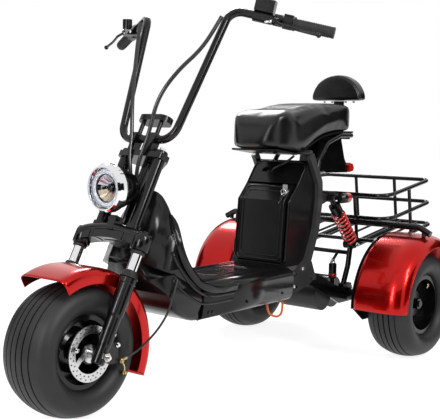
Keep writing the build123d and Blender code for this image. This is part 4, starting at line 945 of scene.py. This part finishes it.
tread_tree = bpy.data.node_groups.new("tread_ribs", "GeometryNodeTree")
tread_in = {}
for socket, kind in (("Length", "NodeSocketFloat"), ("Width", "NodeSocketFloat"), ("Along", "NodeSocketInt"),
                     ("Across", "NodeSocketInt"), ("Rib", "NodeSocketVector"), ("Lean", "NodeSocketFloat"),
                     ("Centre", "NodeSocketVector"), ("Skin", "NodeSocketMaterial")):
    tread_in[socket] = tread_tree.interface.new_socket(socket, in_out="INPUT", socket_type=kind)
tread_tree.interface.new_socket("Ribs", in_out="OUTPUT", socket_type="NodeSocketGeometry")
t_in = tread_tree.nodes.new("NodeGroupInput")
t_out = tread_tree.nodes.new("NodeGroupOutput")
t_grid = tread_tree.nodes.new("GeometryNodeMeshGrid")
t_move = tread_tree.nodes.new("GeometryNodeTransform")
t_rib = tread_tree.nodes.new("GeometryNodeMeshCube")
t_lean = tread_tree.nodes.new("ShaderNodeCombineXYZ")
t_set = tread_tree.nodes.new("GeometryNodeInstanceOnPoints")
t_real = tread_tree.nodes.new("GeometryNodeRealizeInstances")
t_coat = tread_tree.nodes.new("GeometryNodeSetMaterial")
wire(tread_tree, [
    (t_in.outputs["Length"], t_grid.inputs["Size X"]),
    (t_in.outputs["Width"], t_grid.inputs["Size Y"]),
    (t_in.outputs["Along"], t_grid.inputs["Vertices X"]),
    (t_in.outputs["Across"], t_grid.inputs["Vertices Y"]),
    (t_in.outputs["Rib"], t_rib.inputs["Size"]),
    (t_in.outputs["Centre"], t_move.inputs["Translation"]),
    (t_grid.outputs["Mesh"], t_move.inputs["Geometry"]),
    (t_in.outputs["Lean"], t_lean.inputs["Z"]),
    (t_move.outputs["Geometry"], t_set.inputs["Points"]),
    (t_rib.outputs["Mesh"], t_set.inputs["Instance"]),
    (t_lean.outputs["Vector"], t_set.inputs["Rotation"]),
    (t_set.outputs["Instances"], t_real.inputs["Geometry"]),
    (t_real.outputs["Geometry"], t_coat.inputs["Geometry"]),
    (t_in.outputs["Skin"], t_coat.inputs["Material"]),
    (t_coat.outputs["Geometry"], t_out.inputs["Ribs"]),
])
blank_mesh = bpy.data.meshes.new("tread_blank")
for name, centre, length, width, along, across, rib, lean in (
    ("left_tread", place(668, 92, 357.4), 0.38, 0.022, 27, 3, (0.0075, 0.0062, 0.003), 0.5),
    ("right_tread", place(668, -92, 357.4), 0.38, 0.022, 27, 3, (0.0075, 0.0062, 0.003), -0.5),
    ("middle_tread", place(660, 0, 357.4), 0.16, 0.060, 9, 7, (0.0090, 0.0030, 0.002), 0.0),
):
    holder = bpy.data.objects.new(name + "_seat", blank_mesh)
    collection.objects.link(holder)
    setter = holder.modifiers.new("ribs", "NODES")
    setter.node_group = tread_tree
    for socket, value in (("Length", length), ("Width", width), ("Along", along), ("Across", across), ("Rib", rib),
                          ("Lean", lean), ("Centre", tuple(centre)), ("Skin", body_black)):
        setter[tread_in[socket].identifier] = value
    tread = evaluated(holder)
    tread.name = name
    holder.modifiers.clear()
    bpy.data.objects.remove(holder)
    add_piece(name, tread, body_black, "chassis", smooth=False)
bolts("floor_bolts", [(place(x, side * 151.5, z), (0, side, 0)) for side in (1, -1)
                      for x, z in ((905, 262), (885, 262), (700, 272), (500, 276))], 0.0075, "chassis", black_paint)

# ------------------------------------------------------------------ seat box, door and lock
# The box that carries the saddle is moulded in the same plastic. Two raised lines frame
# its front and its door; a chromed cam lock holds the door, with its key on a ring.
dress(body_black, "battery_box", "battery_door")
dress(zinc, "door_lock")
battery_case = finish("battery_case", (0.03, 0.03, 0.035), (0.05, 0.05, 0.05), 0.5, 0.1, 900, 0.1, 0.4)
dress(battery_case, "battery")


def frame_line(half_w, low, high, corner, face, rise):
    """A rounded frame drawn on a leaning face given by (height, x) steps, just proud of it."""
    flat = []
    for cy, cz, start in ((half_w - corner, high - corner, 0), (-half_w + corner, high - corner, 90),
                          (-half_w + corner, low + corner, 180), (half_w - corner, low + corner, 270)):
        flat += [(cy + corner * cos(radians(start + 15 * k)), cz + corner * sin(radians(start + 15 * k)))
                 for k in range(7)]
    dense = []
    for (y0, z0), (y1, z1) in zip(flat, flat[1:] + flat[:1]):
        parts = max(1, int(hypot(y1 - y0, z1 - z0) / 9))
        dense += [(y0 + (y1 - y0) * k / parts, z0 + (z1 - z0) * k / parts) for k in range(parts)]
    return [(width_at(z, face) + rise, y, z) for y, z in dense]


box_face = [(357, 437), (594, 417), (650, 366), (741, 300)]
door_skin = [(373, 443.6), (597, 425), (651, 376)]
box_lines = rod("box_border", frame_line(116, 363, 735, 30, box_face, 0.6), 0.0034, 10, ring=True)
add_piece("box_border", box_lines, body_black, "chassis")
door_lines = joined("door_border", [
    rod("door_border_outer", frame_line(99, 379, 645, 20, door_skin, 0.6), 0.0034, 10, ring=True),
    rod("door_border_inner", frame_line(84, 394, 630, 15, door_skin, 0.3), 0.0024, 10, ring=True),
])
add_piece("door_border", door_lines, body_black, "door")
lock_seat = place(397, 88, 627.5)
lock_way = Vector((0.742, 0, 0.67))
lock_plate = turned_mesh("lock_escutcheon", [(0.0064, 0.0054), (0.0070, 0.0066), (0.0098, 0.0060), (0.0106, 0.0050),
                                             (0.0064, 0.0050)], lock_seat, lock_way, 40, closed=True)
add_piece("lock_escutcheon", lock_plate, chrome, "door")
key_ring = rod("key_ring", [(414 + 2 * cos(a), 88 + 11.5 * sin(a), 628 + 11.5 * cos(a)) for a in
                            (2 * pi * k / 40 for k in range(40))], 0.0010, 8, ring=True)
add_piece("key_ring", key_ring, chrome, "door")


def on_slope(down, across, out):
    """A point in millimetres on the door's leaning top: down it from the ring, across, and off it."""
    return place(411 + 0.672 * down + 0.740 * out, 84 + across, 616 - 0.740 * down + 0.672 * out)


key_outline = [(0, -6), (4, -9), (10, -9.5), (16, -7), (18, -3.4), (33, -3.2), (36, 0), (33, 2.2), (30, 1.2),
               (28, 3.2), (25, 1.4), (23, 3.2), (18, 3.4), (16, 7), (10, 9.5), (4, 9), (0, 6)]
key_body = bmesh.new()
key_sides = [[key_body.verts.new(on_slope(down, across * 0.85, out)) for down, across in key_outline] for out in (2, 4)]
for k in range(len(key_outline)):
    j = (k + 1) % len(key_outline)
    key_body.faces.new((key_sides[0][k], key_sides[0][j], key_sides[1][j], key_sides[1][k]))
for side_loop in key_sides:
    for tri in tessellate_polygon([[Vector((down, across, 0)) for down, across in key_outline]]):
        key_body.faces.new([side_loop[i] for i in tri])
bmesh.ops.recalc_face_normals(key_body, faces=key_body.faces)
add_piece("spare_key", as_mesh(key_body, "spare_key"), chrome, "door", smooth=False)

# The charging lead comes out under the saddle and plugs into the recess in the box.
charge_route = [(336, 76, 759), (352, 70, 746), (367, 52, 730), (370, 26, 718), (360, 0, 708), (340, -20, 694)]
charge_curve = bpy.data.objects.new("charging_lead", smooth_route("charging_lead", charge_route, 0.0045))
collection.objects.link(charge_curve)
charge_curve.data.materials.append(lead_rubber)
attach(charge_curve, "chassis")
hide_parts("charge_lead")

# ------------------------------------------------------------------ hoops and saddle pan
# Flat steel hoops, 30 mm wide and painted satin grey, carry the saddle each side of the
# box and end in the swing arm's pivot plates. The pan is pressed steel.
hoop_grey = finish("hoop_grey", (0.030, 0.031, 0.033), (0.075, 0.075, 0.075), 0.32, 0.1, 1000, 0.08, 0.3, 0.3, 20,
                   metallic=0.2, coat=0.1, specular=0.45)
dress(hoop_grey, "side_hoops")
dress(black_plastic, "saddle_pan")
HOOP_Y = 129.3
bolts("hoop_bolts", [(place(x, side * (HOOP_Y + 8.2), z), (0, side, 0)) for side in (1, -1)
                     for x, z in ((348, 345), (400, 284))], 0.012, "chassis", chrome)

# ------------------------------------------------------------------ saddle
# A thick foam seat under tight black vinyl, crowned across and dished for one rider.
# The cover is drawn tight and tucked under the pan.
vinyl = finish("saddle_vinyl", (0.0035, 0.0035, 0.004), (0.016, 0.016, 0.016), 0.24, 0.10, 520, 0.10, 0.3, 0.1, 16,
               specular=0.40)
vinyl_tree = vinyl.node_tree
vinyl_place = vinyl_tree.nodes.new("ShaderNodeTexCoord")
vinyl_cells = vinyl_tree.nodes.new("ShaderNodeTexVoronoi")
vinyl_cells.feature = "DISTANCE_TO_EDGE"
vinyl_cells.inputs["Scale"].default_value = 620
vinyl_bump = vinyl_tree.nodes.new("ShaderNodeBump")
vinyl_bump.inputs["Strength"].default_value = 0.22
vinyl_bump.inputs["Distance"].default_value = 0.0006
vinyl_creases = vinyl_tree.nodes.new("ShaderNodeTexNoise")
vinyl_creases.inputs["Scale"].default_value = 17
vinyl_creases.inputs["Detail"].default_value = 2
vinyl_soft = vinyl_tree.nodes.new("ShaderNodeBump")
vinyl_soft.inputs["Strength"].default_value = 0.10
vinyl_soft.inputs["Distance"].default_value = 0.006
wire(vinyl_tree, [
    (vinyl_place.outputs["Object"], vinyl_cells.inputs["Vector"]),
    (vinyl_place.outputs["Object"], vinyl_creases.inputs["Vector"]),
    (vinyl_cells.outputs["Distance"], vinyl_bump.inputs["Height"]),
    (vinyl_creases.outputs["Fac"], vinyl_soft.inputs["Height"]),
    (vinyl_soft.outputs["Normal"], vinyl_bump.inputs["Normal"]),
    (vinyl_bump.outputs["Normal"], vinyl_tree.nodes["Principled BSDF"].inputs["Normal"]),
])


def stuffed(name, source, shrink, voxel, passes, cap):
    """A padded piece: the pad's space made smaller, rounded, and swollen under its cover."""
    seed = bmesh.new()
    seed.from_mesh(nodes[source].data)
    bmesh.ops.remove_doubles(seed, verts=seed.verts, dist=0.0001)
    low = Vector([min(v.co[k] for v in seed.verts) for k in range(3)])
    high = Vector([max(v.co[k] for v in seed.verts) for k in range(3)])
    middle = (low + high) / 2
    for v in seed.verts:
        v.co = middle + Vector([(v.co[k] - middle[k]) * shrink[k] for k in range(3)])
    made = bpy.data.objects.new(name, as_mesh(seed, name))
    collection.objects.link(made)
    remesh = made.modifiers.new("remesh", "REMESH")
    remesh.mode = "VOXEL"
    remesh.voxel_size = voxel
    ease = made.modifiers.new("ease", "SMOOTH")
    ease.factor = 0.5
    ease.iterations = passes
    rounded = evaluated(made)
    made.modifiers.clear()
    made.data = rounded
    start = [v.co.copy() for v in rounded.vertices]
    cover = made.modifiers.new("cover", "CLOTH")
    cover.settings.use_pressure = True
    cover.settings.uniform_pressure_force = 4
    cover.settings.effector_weights.gravity = 0
    cover.settings.quality = 5
    cover.settings.bending_stiffness = 30
    cover.settings.tension_stiffness = 40
    cover.settings.compression_stiffness = 40
    cover.point_cache.frame_start = 1
    cover.point_cache.frame_end = 20
    for step in range(1, 21):
        bpy.context.scene.frame_set(step)
    swollen = evaluated(made)
    made.modifiers.clear()
    bpy.context.scene.frame_set(1)
    for v, was in zip(swollen.vertices, start):
        moved = v.co - was
        if moved.length > cap:
            v.co = was + moved.normalized() * cap
    made.data = swollen
    taut = made.modifiers.new("taut", "SMOOTH")
    taut.factor = 0.5
    taut.iterations = 22
    stretched = evaluated(made)
    made.modifiers.clear()
    made.data = stretched
    for v in made.data.vertices:
        for k in range(3):
            v.co[k] = max(low[k], min(high[k], v.co[k]))
    return made


saddle = stuffed("saddle_cushion", "saddle", (0.975, 0.95, 0.955), 0.005, 26, 0.006)
backrest = stuffed("backrest_pad", "backrest", (0.84, 0.975, 0.97), 0.004, 16, 0.006)
for pad, node, fill in ((saddle, "saddle", 0.9), (backrest, "backrest", 0.85)):
    pad.data.materials.clear()
    pad.data.materials.append(vinyl)
    for face in pad.data.polygons:
        face.use_smooth = True
    pad.modifiers.new("fine", "SUBSURF").levels = 1
    pad.modifiers["fine"].render_levels = 1
    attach(pad, "chassis")
    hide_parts(node)

# Four bolts come up through the back-rest's plate into its board.
bolts("backrest_bolts", [(place(-84, y, 970.5), (0, 0, -1)) for y in (70, 32, -32, -70)], 0.009, "chassis", chrome)

# ------------------------------------------------------------------ tail bracket and lamps
# A pressed steel bracket and two bent tubes reach back under the saddle, with the
# back-rest's post on top. Its lamp and the signals have red acrylic lenses.
dress(black_paint, "tail_bracket")
red_lens = finish("red_lens", (0.62, 0.018, 0.006), (0.50, 0.012, 0.006), 0.12, 0.04, 500, 0.02, 0.3, 0.0, 40,
                  coat=0.6)
lens_tree = red_lens.node_tree
lens_place = lens_tree.nodes.new("ShaderNodeTexCoord")
lens_ribs = lens_tree.nodes.new("ShaderNodeTexWave")
lens_ribs.bands_direction = "Y"
lens_ribs.inputs["Scale"].default_value = 70
lens_bump = lens_tree.nodes.new("ShaderNodeBump")
lens_bump.inputs["Strength"].default_value = 0.35
lens_bump.inputs["Distance"].default_value = 0.002
wire(lens_tree, [
    (lens_place.outputs["Object"], lens_ribs.inputs["Vector"]),
    (lens_ribs.outputs["Fac"], lens_bump.inputs["Height"]),
    (lens_bump.outputs["Normal"], lens_tree.nodes["Principled BSDF"].inputs["Normal"]),
])
dress(red_lens, "rear_lenses")
dress(black_plastic, "turn_signals")
bolts("bracket_bolts", [(place(x, side * 40.2, z), (0, side, 0)) for side in (1, -1)
                        for x, z in ((0, 806), (70, 806), (-40, 722))], 0.010, "chassis", black_paint)

# ------------------------------------------------------------------ rear suspension
# Coil-over units: red powder coated springs over black bodies. Short inner dampers with
# bright rods stand on the arm's cross plate.
spring_red = finish("spring_red", (0.62, 0.010, 0.005), (0.34, 0.010, 0.006), 0.22, 0.08, 700, 0.04, 0.35, 0.2, 40,
                    coat=0.7)
dress(spring_red, "shock_springs")
dress(black_paint, "shock_bodies")
for side, hand_name in ((1, "left"), (-1, "right")):
    inner = turned_mesh(hand_name + "_damper_bands", [
        (0.0162, 0.040), (0.0172, 0.041), (0.0172, 0.052), (0.0162, 0.053)], place(45, side * 72, 231.8), (0, 0, 1), 32)
    add_piece(hand_name + "_damper_band", inner, spring_red, "chassis")
    rod_sleeve = turned_mesh(hand_name + "_damper_sleeve", [
        (0.0072, 0.0925), (0.0112, 0.0925), (0.0112, 0.1000), (0.0086, 0.1010), (0.0086, 0.1110), (0.0072, 0.1110)],
        place(45, side * 72, 231.8), (0, 0, 1), 32, closed=True)
    add_piece(hand_name + "_damper_sleeve", rod_sleeve, chrome, "chassis")
    bolts(hand_name + "_shock_bolts", [(place(176, side * 159.6, 597), (0, side, 0)),
                                       (place(9, side * 159.6, 404), (0, side, 0))], 0.012, "chassis", chrome)

# ------------------------------------------------------------------ rear axle and motor
# The swing arm is welded steel plate. The motor and the differential's housing are cast
# alloy in black, left rough from the mould; the half shafts end in zinc plated nuts.
motor_alloy = finish("motor_alloy", (0.020, 0.020, 0.021), (0.06, 0.06, 0.06), 0.46, 0.15, 300, 0.35, 0.45, 0.4, 14,
                     metallic=0.4)
dress(black_paint, "swing_arm", "axle_housing")
dress(motor_alloy, "motor")

# ------------------------------------------------------------------ basket, frame and fenders
# The basket and its frame are bent and welded tube in gloss black; the fenders are
# pressed steel in candy red on black inner plates.
dress(black_paint, "basket", "rear_frame", "fender_plates")
fender_section = through([(234, 298.4), (250, 298.6), (260, 302), (265.4, 312), (266.6, 326), (266.8, 400),
                          (265.8, 440), (261, 464), (250, 486), (236, 499), (222, 505)], 5)
fender_meshes = [arched("rear_fender", fender_section, 0, 188, 0, side) for side in (1, -1)]
fender_lips = [rod("fender_lip", [(222.5 * cos(radians(a)), side * 504.6, 203 + 222.5 * sin(radians(a)))
                                  for a in range(0, 189, 4)], 0.0014, 8) for side in (1, -1)]
fenders = add_piece("rear_fender_pair", joined("rear_fender_pair", fender_meshes + fender_lips), candy_red, "chassis")
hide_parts("rear_fenders")
bolts("fender_bolts", [(place(30, side * 460, 489.4), (0, 0, 1)) for side in (1, -1)], 0.012, "chassis", chrome)

# ------------------------------------------------------------------ floor lead
# A sheathed orange lead hangs in a loop below the belly pan, out of one hole in it and
# back through another.
lead_orange = finish("lead_orange", (0.80, 0.17, 0.03), (0.52, 0.12, 0.03), 0.38, 0.1, 900, 0.1, 0.35, 0.0, 40)
loop_route = [(538, 114, 237.6), (536, 116, 206), (508, 119, 188), (474, 120, 181), (446, 118, 196), (444, 114, 237.6)]
floor_lead = bpy.data.objects.new("orange_lead", smooth_route("orange_lead", loop_route, 0.004))
collection.objects.link(floor_lead)
floor_lead.data.materials.append(lead_orange)
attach(floor_lead, "chassis")
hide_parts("floor_lead")
